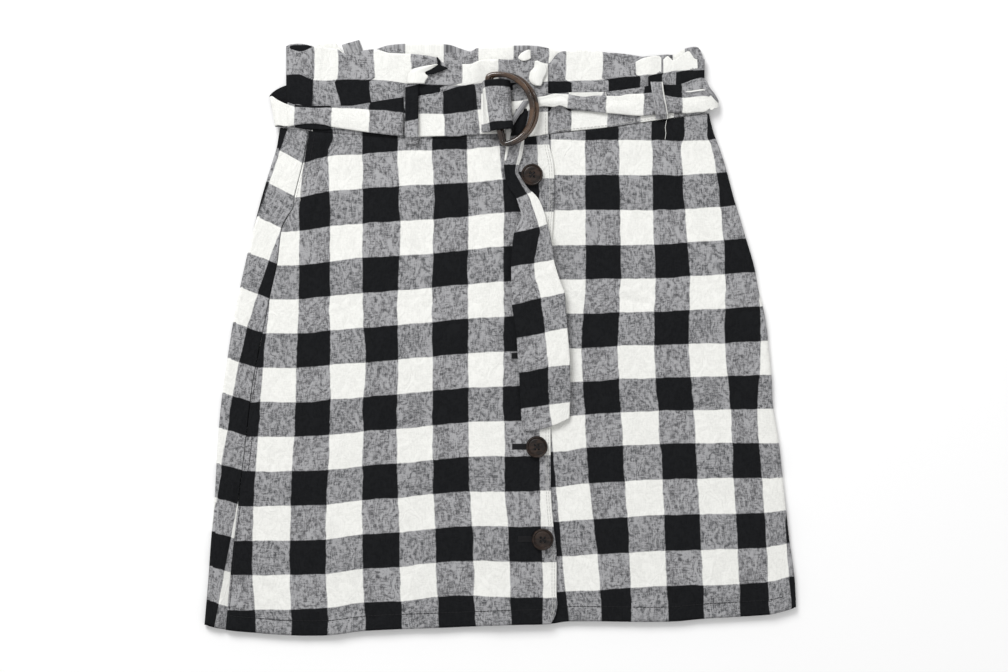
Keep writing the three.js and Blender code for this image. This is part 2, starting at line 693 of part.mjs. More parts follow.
addPiece('belt_tail', clothWall(5, TAIL.length, CLOTH, tailPoint), GINGHAM);

// ---- belt loops -------------------------------------------------------------------------------------
// each runs along y: lower end, up over the belt, upper end; lean shifts its upper end in x
const LOOPS = [
  {
    name: 'belt_loop_front_left', x: -73.2, lean: 0, half: 5.5, lowZ: 6.9, ends: [159.6, 208.2],
    belt: [164.6, 199.4], overZ: beltZ + foldStep, endZ: bandTopZ + SEAM + LOOP_WALL / 2,
  },
  {
    name: 'belt_loop_front_right', x: 133.6, lean: -4.6, half: 5.6, lowZ: 7.1, ends: [179.6, 214.4],
    belt: [183.2, 210.4], overZ: foldedZ + foldStep * 1.5, endZ: bandTopZ + SEAM + LOOP_WALL / 2,
  },
  {
    name: 'belt_loop_back_right', x: 92, lean: 0, half: 5.5, lowZ: 2.0, ends: [175.4, 213.5],
    belt: [178.2, 208.6], overZ: LOOP_WALL / 2, endZ: 2.0,
  },
];

function loopPoint(loop, u, v, i, j) {
  const [low, high] = loop.ends;
  const [beltLow, beltHigh] = loop.belt;
  const stations = [
    { y: low, z: loop.endZ },
    { y: mix(low, beltLow, 0.4), z: loop.endZ },
    { y: beltLow - 0.6, z: mix(loop.endZ, loop.overZ, 0.55) },
    { y: beltLow + 0.8, z: loop.overZ },
    { y: mix(beltLow, beltHigh, 0.35), z: loop.overZ },
    { y: mix(beltLow, beltHigh, 0.65), z: loop.overZ },
    { y: beltHigh - 0.8, z: loop.overZ },
    { y: beltHigh + 0.6, z: mix(loop.endZ, loop.overZ, 0.55) },
    { y: mix(high, beltHigh, 0.4), z: loop.endZ },
    { y: high, z: loop.endZ },
  ];
  const row = stations[j];
  const x = loop.x + mix(-loop.half, loop.half, u) + loop.lean * smooth(low, high, row.y);
  return new THREE.Vector3(x, row.y, row.z);
}

for (const loop of LOOPS) {
  const point = (u, v, i, j) => loopPoint(loop, u, v, i, j);
  addPiece(loop.name, clothWall(3, 10, LOOP_WALL, point), GINGHAM);
}

// the left back loop, its upper end left long and standing above the frill
const TAB = [
  { y: 171.0, x: -112, z: 2.0 },
  { y: 172.6, x: -112, z: 1.7 },
  { y: 175.4, x: -112, z: 0.5 },
  { y: 192.0, x: -112.5, z: 0.5 },
  { y: 206.0, x: -114, z: 0.5 },
  { y: 214.0, x: -116, z: 0.7 },
  { y: 226.0, x: -119, z: 0.7 },
  { y: 235.0, x: -121, z: 0.7 },
  { y: 244.3, x: -124.2, z: 0.7 },
];

function tabPoint(u, v, i, j) {
  const row = TAB[j];
  const side = mix(-7.2, 7.2, u);
  const slant = smooth(214, 240, row.y);
  return new THREE.Vector3(row.x + side, row.y + side * 0.26 * slant, row.z);
}

addPiece('belt_loop_back_left', clothWall(3, TAB.length, LOOP_WALL, tabPoint), GINGHAM);

// ---- D-rings -----------------------------------------------------------------------------------------
// one straight bar and a bow, a round rod all the way, seen from above as a letter D
function ringPath(ring) {
  const points = [];
  const bend = 6.5; // radius of the two corners
  const corner = ring.half - bend;
  for (const share of [-0.8, -0.4, 0, 0.4, 0.8]) points.push([0, corner * share]);
  for (const degrees of [150, 105]) {
    const angle = (degrees * Math.PI) / 180;
    points.push([bend + bend * Math.cos(angle), corner + bend * Math.sin(angle)]);
  }
  const steps = 13;
  for (let k = 0; k <= steps; k += 1) {
    const angle = Math.PI / 2 - (Math.PI * k) / steps;
    const away = bend + 3 + (ring.depth - bend - 3) * Math.cos(angle);
    points.push([away, ring.half * Math.sign(Math.sin(angle)) * Math.abs(Math.sin(angle)) ** 0.92]);
  }
  for (const degrees of [-105, -150]) {
    const angle = (degrees * Math.PI) / 180;
    points.push([bend + bend * Math.cos(angle), -corner + bend * Math.sin(angle)]);
  }
  const turn = (ring.turn * Math.PI) / 180;
  return points.map(([away, along]) => {
    const x = ring.x + away * Math.cos(turn) - along * Math.sin(turn);
    const y = ring.y + away * Math.sin(turn) + along * Math.cos(turn);
    return new THREE.Vector3(x, y, mix(ring.z, ring.tip, away / ring.depth));
  });
}

function cleaned(geometry) {
  geometry.deleteAttribute('normal');
  geometry.deleteAttribute('uv');
  const merged = mergeVertices(geometry, 1e-4);
  const kept = [];
  const source = merged.index.array;
  for (let k = 0; k < source.length; k += 3) {
    const [a, b, c] = [source[k], source[k + 1], source[k + 2]];
    if (a !== b && b !== c && c !== a) kept.push(a, b, c);
  }
  return facingOut(Array.from(merged.attributes.position.array), kept);
}

for (const ring of RINGS) {
  const path = new THREE.CatmullRomCurve3(ringPath(ring), true, 'centripetal');
  addPiece(ring.name, cleaned(new THREE.TubeGeometry(path, 56, RING_ROD, 8, true)), TORTOISE);
}

// ---- buttons: a raised rim, a dished middle and four thread holes --------------------------------------
function asSolid(geometry) {
  return new wasm.Manifold(new wasm.Mesh({
    numProp: 3,
    vertProperties: new Float32Array(geometry.attributes.position.array),
    triVerts: new Uint32Array(geometry.index.array),
  }));
}

const BUTTON_PROFILE = [
  { radius: 0, height: 0 },
  { radius: 0.78, height: 0 },
  { radius: 1, height: 0.42 },
  { radius: 0.97, height: 0.82 },
  { radius: 0.86, height: 1 },
  { radius: 0.68, height: 0.82 },
  { radius: 0, height: 0.7 },
];

function buttonGeometry() {
  const profile = BUTTON_PROFILE.map(
    (row) => new THREE.Vector2(row.radius * BUTTON_RADIUS, row.height * BUTTON_THICK),
  );
  const turned = new THREE.LatheGeometry(profile, 28);
  turned.rotateX(Math.PI / 2);
  let solid = asSolid(cleaned(turned));
  for (const quarter of [45, 135, 225, 315]) {
    const angle = (quarter * Math.PI) / 180;
    const drill = new THREE.CylinderGeometry(HOLE_RADIUS, HOLE_RADIUS, BUTTON_THICK * 3, 8);
    drill.rotateX(Math.PI / 2);
    drill.translate(HOLE_OFFSET * Math.cos(angle), HOLE_OFFSET * Math.sin(angle), 0);
    solid = solid.subtract(asSolid(cleaned(drill)));
  }
  const mesh = solid.getMesh();
  return facingOut(Array.from(mesh.vertProperties), Array.from(mesh.triVerts));
}

BUTTONS.forEach((place, k) => {
  const geometry = buttonGeometry();
  const under = standHeight(place.x, place.y + BUTTON_RADIUS) + CLOTH / 2 + SEAM;
  geometry.translate(place.x, place.y, under);
  addPiece(`button_${k + 1}`, geometry, HORN);
});

// the origin is the middle of the outline, on the surface that the skirt lies on
const reach = new THREE.Box3().setFromObject(skirt);
const middle = reach.getCenter(new THREE.Vector3());
skirt.position.set(-middle.x, -middle.y, -reach.min.z);

export default skirt;
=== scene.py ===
import math
import random

import bmesh
import bpy
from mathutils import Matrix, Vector, noise


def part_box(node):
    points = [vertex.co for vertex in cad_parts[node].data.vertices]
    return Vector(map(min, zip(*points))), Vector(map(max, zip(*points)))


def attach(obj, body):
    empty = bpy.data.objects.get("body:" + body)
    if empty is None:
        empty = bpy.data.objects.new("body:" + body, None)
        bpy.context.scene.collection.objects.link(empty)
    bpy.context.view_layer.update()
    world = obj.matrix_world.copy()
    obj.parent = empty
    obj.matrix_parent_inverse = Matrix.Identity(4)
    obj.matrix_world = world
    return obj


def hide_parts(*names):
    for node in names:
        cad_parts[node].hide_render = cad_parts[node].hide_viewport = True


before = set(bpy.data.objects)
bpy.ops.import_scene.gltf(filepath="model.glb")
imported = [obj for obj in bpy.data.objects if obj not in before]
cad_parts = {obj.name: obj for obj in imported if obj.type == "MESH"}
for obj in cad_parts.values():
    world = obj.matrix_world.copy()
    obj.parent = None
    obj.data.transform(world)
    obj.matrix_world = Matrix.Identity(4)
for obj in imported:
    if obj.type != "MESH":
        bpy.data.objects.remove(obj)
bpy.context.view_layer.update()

# ---- Studio: table, light and camera ---------------------------------------------------
# A white table top in soft daylight. The key light stands beyond the waist, so a soft shadow
# falls below the hem. The camera looks straight down on the garment.

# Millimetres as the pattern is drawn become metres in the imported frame.
TOP_BUTTON = Vector((26.0, 133.7))
button_low, button_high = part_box("button_1")
SHIFT = (Vector(button_low) + Vector(button_high)).xy / 2 - TOP_BUTTON / 1000


def place(x, y, z):
    return Vector((x / 1000 + SHIFT.x, y / 1000 + SHIFT.y, z / 1000))


def colour(code):
    parts = [int(code[k : k + 2], 16) / 255 for k in (1, 3, 5)]
    linear = [p / 12.92 if p <= 0.04045 else ((p + 0.055) / 1.055) ** 2.4 for p in parts]
    return (*linear, 1.0)


def add(tree, kind, inputs=None, **settings):
    """Adds a node with its own settings, and with values or other nodes' sockets put into it."""
    made = tree.nodes.new(kind)
    for key, value in settings.items():
        setattr(made, key, value)
    for key, value in (inputs or {}).items():
        if isinstance(value, bpy.types.NodeSocket):
            tree.links.new(value, made.inputs[key])
        else:
            made.inputs[key].default_value = value
    return made


def new_material(name):
    made = bpy.data.materials.new(name)
    made.use_nodes = True
    made.node_tree.nodes.clear()
    return made, made.node_tree


def finish_material(tree, shader):
    add(tree, "ShaderNodeOutputMaterial", {"Surface": shader.outputs[0]})


def new_object(name, data):
    made = bpy.data.objects.new(name, data)
    bpy.context.scene.collection.objects.link(made)
    return made


TABLE_SIZE = 3.0
table_mesh = bpy.data.meshes.new("table_top")
half = TABLE_SIZE / 2
table_mesh.from_pydata(
    [(-half, -half, 0), (half, -half, 0), (half, half, 0), (-half, half, 0)], [], [(0, 1, 2, 3)]
)
table_top = new_object("table_top", table_mesh)

# Matt white laminate: plain, with no gloss.
laminate, tree = new_material("white_laminate")
shader = add(
    tree,
    "ShaderNodeBsdfPrincipled",
    {"Base Color": colour("#f8f8f8"), "Roughness": 0.9, "Specular IOR Level": 0.0},
)
finish_material(tree, shader)
table_mesh.materials.append(laminate)

world = bpy.data.worlds.new("studio")
bpy.context.scene.world = world
world.use_nodes = True
world.node_tree.nodes.clear()
SKY_STRENGTH = 0.56
sky = add(world.node_tree, "ShaderNodeBackground", {"Color": colour("#ffffff"), "Strength": SKY_STRENGTH})
add(world.node_tree, "ShaderNodeOutputWorld", {"Surface": sky.outputs[0]})


def softbox(name, spot, aim, size, power):
    lamp = bpy.data.lights.new(name, "AREA")
    lamp.shape = "SQUARE"
    lamp.size = size
    lamp.energy = power
    made = new_object(name, lamp)
    made.location = spot
    made.rotation_euler = (Vector(aim) - Vector(spot)).to_track_quat("-Z", "Y").to_euler()


softbox("key_light", (-0.85, 1.6, 1.55), (0, 0, 0), 1.15, 45)
softbox("fill_light", (0.9, -0.6, 2.0), (0, 0, 0), 1.6, 6)
softbox("rim_light", (1.5, 1.1, 1.4), (0, 0, 0), 0.12, 1.4)

LENS = 85.0
SENSOR = 36.0
VIEW_WIDTH = 0.8316  # what the frame takes in at the cloth
CLOTH_LEVEL = 0.006
lens = bpy.data.cameras.new("camera")
lens.lens = LENS
lens.sensor_width = SENSOR
camera = new_object("camera", lens)
camera.location = place(2.9, 0.8, 0) + Vector((0, 0, CLOTH_LEVEL + VIEW_WIDTH * LENS / SENSOR))
bpy.context.scene.camera = camera
bpy.context.scene.view_settings.view_transform = "Standard"

# ---- Back panel ------------------------------------------------------------------------
# One panel of crinkled cotton and linen gingham, yarn dyed in black and white, plain weave,
# 28.6 mm to a band. It is turned round the left fold and ends at the left side seam.

BAND = 28.6  # one band of the check
WALL = 0.75  # thickness of one layer of cloth


def mix(a, b, share):
    return a + (b - a) * share


def smooth(low, high, value):
    share = min(1.0, max(0.0, (value - low) / (high - low)))
    return share * share * (3 - 2 * share)


def read(table, value):
    """The other columns of a table at a value of its first column, on smooth curves."""
    last = len(table) - 1
    if value <= table[0][0]:
        return table[0][1:]
    if value >= table[last][0]:
        return table[last][1:]
    k = 0
    while table[k + 1][0] < value:
        k += 1
    before, low, high, after = table[max(k - 1, 0)], table[k], table[k + 1], table[min(k + 2, last)]
    span = high[0] - low[0]
    t = (value - low[0]) / span
    found = []
    for c in range(1, len(low)):
        rise_low = (high[c] - before[c]) / (high[0] - before[0]) * span
        rise_high = (after[c] - low[c]) / (after[0] - low[0]) * span
        found.append(
            (2 * t**3 - 3 * t**2 + 1) * low[c]
            + (t**3 - 2 * t**2 + t) * rise_low
            + (3 * t**2 - 2 * t**3) * high[c]
            + (t**3 - t**2) * rise_high
        )
    return found


def count(lines, first, step, value):
    """Where a value lies among numbered check lines; lines run one way, step apart in number."""
    way = 1 if lines[-1] > lines[0] else -1
    k = 0
    while k < len(lines) - 2 and way * lines[k + 1] < way * value:
        k += 1
    share = (value - lines[k]) / (lines[k + 1] - lines[k])
    low = first + (step[k] if isinstance(step, tuple) else k * step)
    high = first + (step[k + 1] if isinstance(step, tuple) else (k + 1) * step)
    return mix(low, high, share)


# outline of the body: height, left fold, left side seam, right fold
OUTLINE = [
    (-241.7, -245.0, -226.8, 245.0),
    (-198.0, -241.3, -223.0, 242.9),
    (-167.5, -239.2, -219.9, 238.7),
    (-137.8, -236.6, -216.4, 235.5),
    (-85.0, -233.5, -210.0, 229.7),
    (-56.1, -231.0, -206.7, 225.1),
    (-31.3, -227.6, -203.1, 223.8),
    (14.0, -220.7, -194.0, 219.0),
    (38.8, -215.7, -188.9, 213.3),
    (60.2, -211.0, -184.2, 209.1),
    (88.9, -204.2, -180.4, 200.5),
    (100.6, -201.3, -174.6, 197.2),
    (106.8, -199.6, -170.8, 195.2),
    (115.2, -197.4, -170.0, 192.6),
    (143.1, -189.0, -163.1, 185.2),
    (156.0, -184.9, -160.6, 180.9),
    (170.8, -182.3, -158.2, 175.3),
    (190.0, -178.0, -157.0, 171.0),
]

# seam between waistband and panels: x, y
WAIST = [
    (-190, 173.5), (-157, 169.9), (-116, 166.6), (-75, 164.2), (-17, 163.3), (24, 165.0),
    (49, 168.5), (88, 172.7), (115, 176.5), (137, 179.8), (180, 186.0),
]  # fmt: skip

# lower edge of the body: x, y
HEM = [
    (-245, -237.6), (-227, -241.7), (-202, -244.2), (-172, -246.3), (-141, -246.1), (-111, -242.5),
    (-51, -240.1), (10, -237.6), (41, -236.8), (57, -234.7), (137, -235.1), (168, -232.6),
    (222, -229.2), (230, -227.4), (234, -226.4), (245, -222.9),
]  # fmt: skip


def left_fold(y):
    return read(OUTLINE, y)[0]


def side_seam(y):
    return read(OUTLINE, y)[1]


def right_fold(y):
    return read(OUTLINE, y)[2]


def waist(x):
    return read(WAIST, x)[0]


def seam_gap(x):
    return mix(0.0, 0.3, smooth(30, 50, x))


def panel_spot(x_at, share):
    """The point of a panel at a share of its depth, on the line that x_at gives."""
    y = mix(waist(x_at(0)), -240, share)
    for _ in range(3):
        x = x_at(y)
        y = mix(waist(x) - seam_gap(x), read(HEM, x)[0], share)
    return x_at(y), y


RISE_END = 36  # below the waist seam the back lies flat from here on
BACK_LEVEL = 0.45
BACK_WAIST_LEVEL = 3.5
FRONT_LEVEL = 5.0
FRONT_WAIST_LEVEL = 5.6


def rise(x, y):
    return 1 - smooth(6, RISE_END, waist(x) - y)


def back_level(x, y):
    return mix(BACK_LEVEL, BACK_WAIST_LEVEL, rise(x, y))


def front_level(x, y):
    return mix(FRONT_LEVEL, FRONT_WAIST_LEVEL, rise(x, y))


# main creases of the front: from x, y, to x, y, half width, depth
CREASES = [
    (-96.4, -19.5, -104.8, -46.9, 1.7, -1.15),
    (-116.4, -51.1, -128.0, -79.4, 1.7, -1.2),
    (-108.0, -83.7, -110.1, -104.8, 1.5, -0.8),
    (-146.4, 127.0, -157.2, 88.3, 2.2, -0.7),
    (-141.0, 168.0, -147.0, 146.0, 2.4, -0.8),
    (-134.0, 122.0, -130.5, 96.0, 2.2, -0.4),
    (-85.0, 70.0, -87.5, 48.0, 2.0, -0.45),
    (-199.2, -202.9, -177.8, -217.0, 2.6, -0.5),
    (-43.0, 148.0, -30.0, 118.0, 2.4, -0.4),
    (-27.0, 119.0, -8.0, 106.0, 1.6, -0.6),
    (-70.0, 140.0, -62.0, 118.0, 2.6, -0.35),
    (-66.0, -40.0, -74.0, -60.0, 2.0, -0.35),
    (-56.0, -70.0, -60.0, -100.0, 1.8, -0.3),
    (98.6, 31.8, 126.6, 26.4, 2.4, -0.55),
    (154.0, 168.0, 162.0, 165.0, 1.2, -0.7),
    (110.0, 104.0, 121.0, 84.0, 2.0, -0.45),
    (126.0, 90.0, 118.0, 72.0, 2.4, -0.35),
    (211.9, -48.0, 213.3, -86.0, 2.0, -0.8),
    (148.0, 160.0, 147.0, 122.0, 1.3, -0.9),
    (150.0, 128.0, 153.5, 92.0, 2.6, -0.45),
    (231.0, -116.2, 236.0, -132.6, 1.5, -0.6),
    (205.0, 96.0, 209.0, 70.0, 2.0, -0.4),
    (60.0, 34.0, 74.0, 28.0, 2.4, -0.5),
    (84.0, -132.0, 96.0, -144.0, 2.2, -0.35),
    (60.0, -180.0, 92.0, -190.0, 2.6, -0.3),
    (178.0, -60.0, 186.0, -96.0, 2.4, -0.3),
    (134.0, -4.0, 128.0, -36.0, 2.4, -0.3),
    (-186.0, -92.0, -194.0, -150.0, 3.0, -0.35),
    (-160.0, -150.0, -150.0, -190.0, 2.6, -0.3),
    (-100.0, -190.0, -84.0, -222.0, 2.4, -0.3),
    (-30.0, -160.0, -44.0, -196.0, 2.6, -0.3),
    (20.0, -60.0, 14.0, -120.0, 2.4, -0.3),
]

# and shorter, shallower ones all over, as washed linen has
SMALL_CREASES = 210
rng = random.Random(7)
for _ in range(SMALL_CREASES):
    x0, y0 = rng.uniform(-240, 240), rng.uniform(-235, 165)
    angle = rng.gauss(math.pi / 2, 0.5)
    reach = rng.uniform(8, 26)
    x1, y1 = x0 + reach * math.cos(angle), y0 + reach * math.sin(angle)
    CREASES.append((x0, y0, x1, y1, rng.uniform(1.2, 2.4), rng.uniform(-0.35, 0.25)))

# the creases that reach into each square of the cloth
CELL = 20.0
CREASE_REACH = 8
crease_map = {}
for crease in CREASES:
    left, right = sorted((crease[0], crease[2]))
    low, high = sorted((crease[1], crease[3]))
    across = range(math.floor((left - CREASE_REACH) / CELL), math.floor((right + CREASE_REACH) / CELL) + 1)
    down = range(math.floor((low - CREASE_REACH) / CELL), math.floor((high + CREASE_REACH) / CELL) + 1)
    for cx in across:
        for cy in down:
            crease_map.setdefault((cx, cy), []).append(crease)

# a crease is a trough with a low lip on either side
CREASE_DEPTH = 1.9
LIP_HEIGHT = 0.35
LIP_WIDTH = 2.2


def crinkle(x, y, seed=0.0):
    """How far washed cloth stands off its smooth form, in millimetres."""
    total = 0.6 * noise.noise(Vector((x / 26, y / 38, seed)))
    total += 0.5 * noise.noise(Vector((x / 11, y / 18, seed + 9)))
    total += 0.2 * noise.noise(Vector((x / 4.8, y / 8, seed + 23)))
    for x0, y0, x1, y1, width, depth in crease_map.get((math.floor(x / CELL), math.floor(y / CELL)), ()):
        run_x, run_y = x1 - x0, y1 - y0
        share = ((x - x0) * run_x + (y - y0) * run_y) / (run_x**2 + run_y**2)
        if not -0.2 < share < 1.2:
            continue
        held = min(1.0, max(0.0, share))
        away = math.hypot(x - x0 - run_x * held, y - y0 - run_y * held)
        fade = smooth(-0.2, 0.25, share) * (1 - smooth(0.75, 1.2, share))
        trough = math.exp(-((away / width) ** 2))
        lips = LIP_HEIGHT * math.exp(-((away / (LIP_WIDTH * width)) ** 2))
        total += CREASE_DEPTH * depth * fade * (trough - lips)
    return total


# Yarn-dyed gingham, plain weave: black where dark warp meets dark weft, white where light meets
# light, and between them squares where the two yarns mix to an uneven heather. Slubs and the weave
# show as fine streaks, and the crinkle's ridges are painted into the colour as shade. The weave is
# drawn at 2 mm, coarser than the real 0.5 mm, so that it shows.
gingham, tree = new_material("cotton_linen_gingham")
grain = add(tree, "ShaderNodeUVMap", uv_map="grain").outputs[0]
# the bands' edges wander a little, and are ragged where single yarns stand out
moved = grain
for scale, detail, amount in ((1.7, 3.0, (0.085, 0.075, 0)), (42.0, 1.0, (0.02, 0.02, 0))):
    drift = add(
        tree,
        "ShaderNodeTexNoise",
        {"Vector": grain, "Scale": scale, "Detail": detail},
        noise_dimensions="2D",
    )
    centred = add(
        tree,
        "ShaderNodeVectorMath",
        {0: drift.outputs["Color"], 1: (0.5, 0.5, 0.5)},
        operation="SUBTRACT",
    )
    moved = add(
        tree,
        "ShaderNodeVectorMath",
        {0: centred.outputs[0], 1: amount, 2: moved},
        operation="MULTIPLY_ADD",
    ).outputs[0]
parts = add(tree, "ShaderNodeSeparateXYZ", {0: moved})
EDGE_SHARPNESS = 13.0
yarns = []
for number, sign in ((0, 1), (1, -1)):
    phase = add(tree, "ShaderNodeMath", {0: parts.outputs[number], 1: math.pi}, operation="MULTIPLY")
    wave = add(tree, "ShaderNodeMath", {0: phase.outputs[0]}, operation="SINE")
    yarns.append(
        add(
            tree,
            "ShaderNodeMath",
            {0: wave.outputs[0], 1: sign * EDGE_SHARPNESS, 2: 0.5},
            operation="MULTIPLY_ADD",
            use_clamp=True,
        ).outputs[0]
    )
warp_dark, weft_dark = yarns

streaks = []
for stretch in ((34.0, 6.0, 1.0), (6.0, 34.0, 1.0), (9.0, 8.0, 1.0)):
    run = add(tree, "ShaderNodeVectorMath", {0: grain, 1: stretch}, operation="MULTIPLY")
    streaks.append(
        add(
            tree,
            "ShaderNodeTexNoise",
            {"Vector": run.outputs[0], "Scale": 1.0, "Detail": 2.0, "Roughness": 0.6},
            noise_dimensions="2D",
        ).outputs[0]
    )
both = add(tree, "ShaderNodeMath", {0: streaks[0], 1: streaks[1]}, operation="ADD")
slubs = add(tree, "ShaderNodeMath", {0: streaks[2], 1: 0.7, 2: both.outputs[0]}, operation="MULTIPLY_ADD")
THREADS = 14  # yarns drawn to a band
run = add(tree, "ShaderNodeVectorMath", {0: grain, 1: (THREADS * math.tau,) * 3}, operation="MULTIPLY")
wave = add(tree, "ShaderNodeVectorMath", {0: run.outputs[0]}, operation="SINE")
sides = add(tree, "ShaderNodeSeparateXYZ", {0: wave.outputs[0]})
weave = add(tree, "ShaderNodeMath", {0: sides.outputs[0], 1: sides.outputs[1]}, operation="MULTIPLY")
weave = weave.outputs[0]
# washed linen's crinkle: soft ridges 4 to 10 mm apart, both ways but mostly down the warp
folds = []
for stretch, seed_shift in (((3.4, 2.2, 1.0), 0.0), ((8.5, 6.0, 1.0), 3.7)):
    run = add(
        tree,
        "ShaderNodeVectorMath",
        {0: grain, 1: stretch, 2: (seed_shift,) * 3},
        operation="MULTIPLY_ADD",
    )
    soft = add(
        tree,
        "ShaderNodeTexNoise",
        {"Vector": run.outputs[0], "Scale": 1.0, "Detail": 2.0, "Roughness": 0.55, "Distortion": 0.9},
        noise_dimensions="2D",
    )
    off = add(tree, "ShaderNodeMath", {0: soft.outputs[0], 1: 0.5}, operation="SUBTRACT")
    folds.append(add(tree, "ShaderNodeMath", {0: off.outputs[0]}, operation="ABSOLUTE").outputs[0])
crumple = add(tree, "ShaderNodeMath", {0: folds[1], 1: 0.45, 2: folds[0]}, operation="MULTIPLY_ADD")
# the crinkle's ridges go into the yarn colour as well as the bump: painted shade along the folds, on top of
# the slubs' real streaks
slubs_and_crinkle_shade = add(
    tree,
    "ShaderNodeMath",
    {0: crumple.outputs[0], 1: 1.9, 2: slubs.outputs[0]},
    operation="MULTIPLY_ADD",
)
heather_and_crinkle_shade = add(tree, "ShaderNodeMath", {0: weave, 1: 0.07, 2: slubs_and_crinkle_shade.outputs[0]}, operation="MULTIPLY_ADD")
heather_and_crinkle_shade = add(
    tree,
    "ShaderNodeMapRange",
    {"Value": heather_and_crinkle_shade.outputs[0], "From Min": 1.2, "From Max": 1.8, "To Min": 0.0, "To Max": 1.0},
).outputs[0]


def blend(factor, low, high):
    return add(tree, "ShaderNodeMix", {0: factor, 6: low, 7: high}, data_type="RGBA").outputs[2]


light_weft_grey = blend(heather_and_crinkle_shade, colour("#545456"), colour("#a4a4a6"))
dark_weft_grey = blend(heather_and_crinkle_shade, colour("#4e4f51"), colour("#a0a0a2"))
white_yarn = blend(heather_and_crinkle_shade, colour("#dededa"), colour("#e9e9e5"))
black_yarn = blend(heather_and_crinkle_shade, colour("#121315"), colour("#191a1c"))
light_row = blend(warp_dark, white_yarn, light_weft_grey)
dark_row = blend(warp_dark, dark_weft_grey, black_yarn)
cloth_colour = blend(weft_dark, light_row, dark_row)

soft_bump = add(tree, "ShaderNodeBump", {"Height": crumple.outputs[0], "Strength": 0.6, "Distance": 0.0013})
relief = add(tree, "ShaderNodeMath", {0: weave, 1: 0.25, 2: slubs.outputs[0]}, operation="MULTIPLY_ADD")
bump = add(
    tree,
    "ShaderNodeBump",
    {"Height": relief.outputs[0], "Strength": 0.5, "Distance": 0.0002, "Normal": soft_bump.outputs[0]},
)
shader = add(
    tree,
    "ShaderNodeBsdfPrincipled",
    {
        "Base Color": cloth_colour,
        "Roughness": 0.95,
        "Specular IOR Level": 0.12,
        "Normal": bump.outputs[0],
    },
)
finish_material(tree, shader)


def cloth(name, nodes, grid, wall=WALL):
    """A layer of gingham on a grid of (x, y, z, warp, weft); its lines run down, its rows across."""
    columns = len(grid[0])
    spots = [spot for line in grid for spot in line]
    faces = []
    for j in range(len(grid) - 1):
        for i in range(columns - 1):
            a = j * columns + i
            faces.append((a, a + columns, a + columns + 1, a + 1))
    mesh = bpy.data.meshes.new(name)
    mesh.from_pydata([place(*spot[:3]) for spot in spots], [], faces)
    layer = mesh.uv_layers.new(name="grain")
    corners = [0] * len(mesh.loops)
    mesh.loops.foreach_get("vertex_index", corners)
    layer.uv.foreach_set("vector", [c for k in corners for c in spots[k][3:5]])
    mesh.shade_smooth()
    mesh.materials.append(gingham)
    piece = new_object(name, mesh)
    layers = piece.modifiers.new("thickness", "SOLIDIFY")
    layers.thickness = wall / 1000
    layers.offset = 0
    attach(piece, "root")
    if nodes:
        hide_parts(*nodes)


# numbers of the weft lines whose heights the tables give
LINE_STEPS = (0, 3, 6, 9, 13)
# weft lines of the turned part: x, then the height of each of those lines
BACK_WEFT = [(-250, 191.0, 85.2, -9.4, -99.5, -215.0), (-150, 136.5, 47.1, -41.9, -128.7, -244.5)]
# warp lines 1 to 3 of the turned part: height, then x of each
BACK_WARP = [
    (-240.9, -275.0, -248.7, -236.4),
    (-188.1, -270.0, -242.0, -226.9),
    (-133.7, -264.0, -233.9, -216.4),
    (-78.4, -256.0, -225.9, -204.0),
    (-20.6, -246.3, -215.9, -194.0),
    (35.5, -230.6, -200.4, -180.0),
    # from 89 to 104 high line 2 runs just short of the side seam, so a sliver of black check shows along the
    # pocket's mouth: painted shadow of the mouth's gap
    (89.1, -204.2, -181.4, -155.0),
    (97.0, -201.2, -178.0, -151.0),
    (103.5, -199.0, -173.4, -148.0),
    (110.0, -196.8, -168.4, -145.0),
    (140.0, -186.6, -160.0, -134.5),
    (170.8, -176.1, -153.0, -124.0),
]


def turned_grain(x, y):
    warp = count(read(BACK_WARP, y), 1, 1, x)
    weft = count(read(BACK_WEFT, x), 0, LINE_STEPS, y)
    return warp, weft


def fold_radius(x, y):
    return (front_level(x, y) - back_level(x, y)) / 2


SEAM_INSET = 26  # the right side seam lies this far inside the right fold, underneath
VENT_TOP = -138
VENT_UNDERLAP = 9
# columns underneath, round the fold and on the front, and rows from waist to hem
BACK_FLAT = 130
FOLD_STEPS = 10
BACK_RETURN = 26
BACK_ROWS = 136
LEFT_SIDE = -200  # near the left fold, where the room inside it is taken


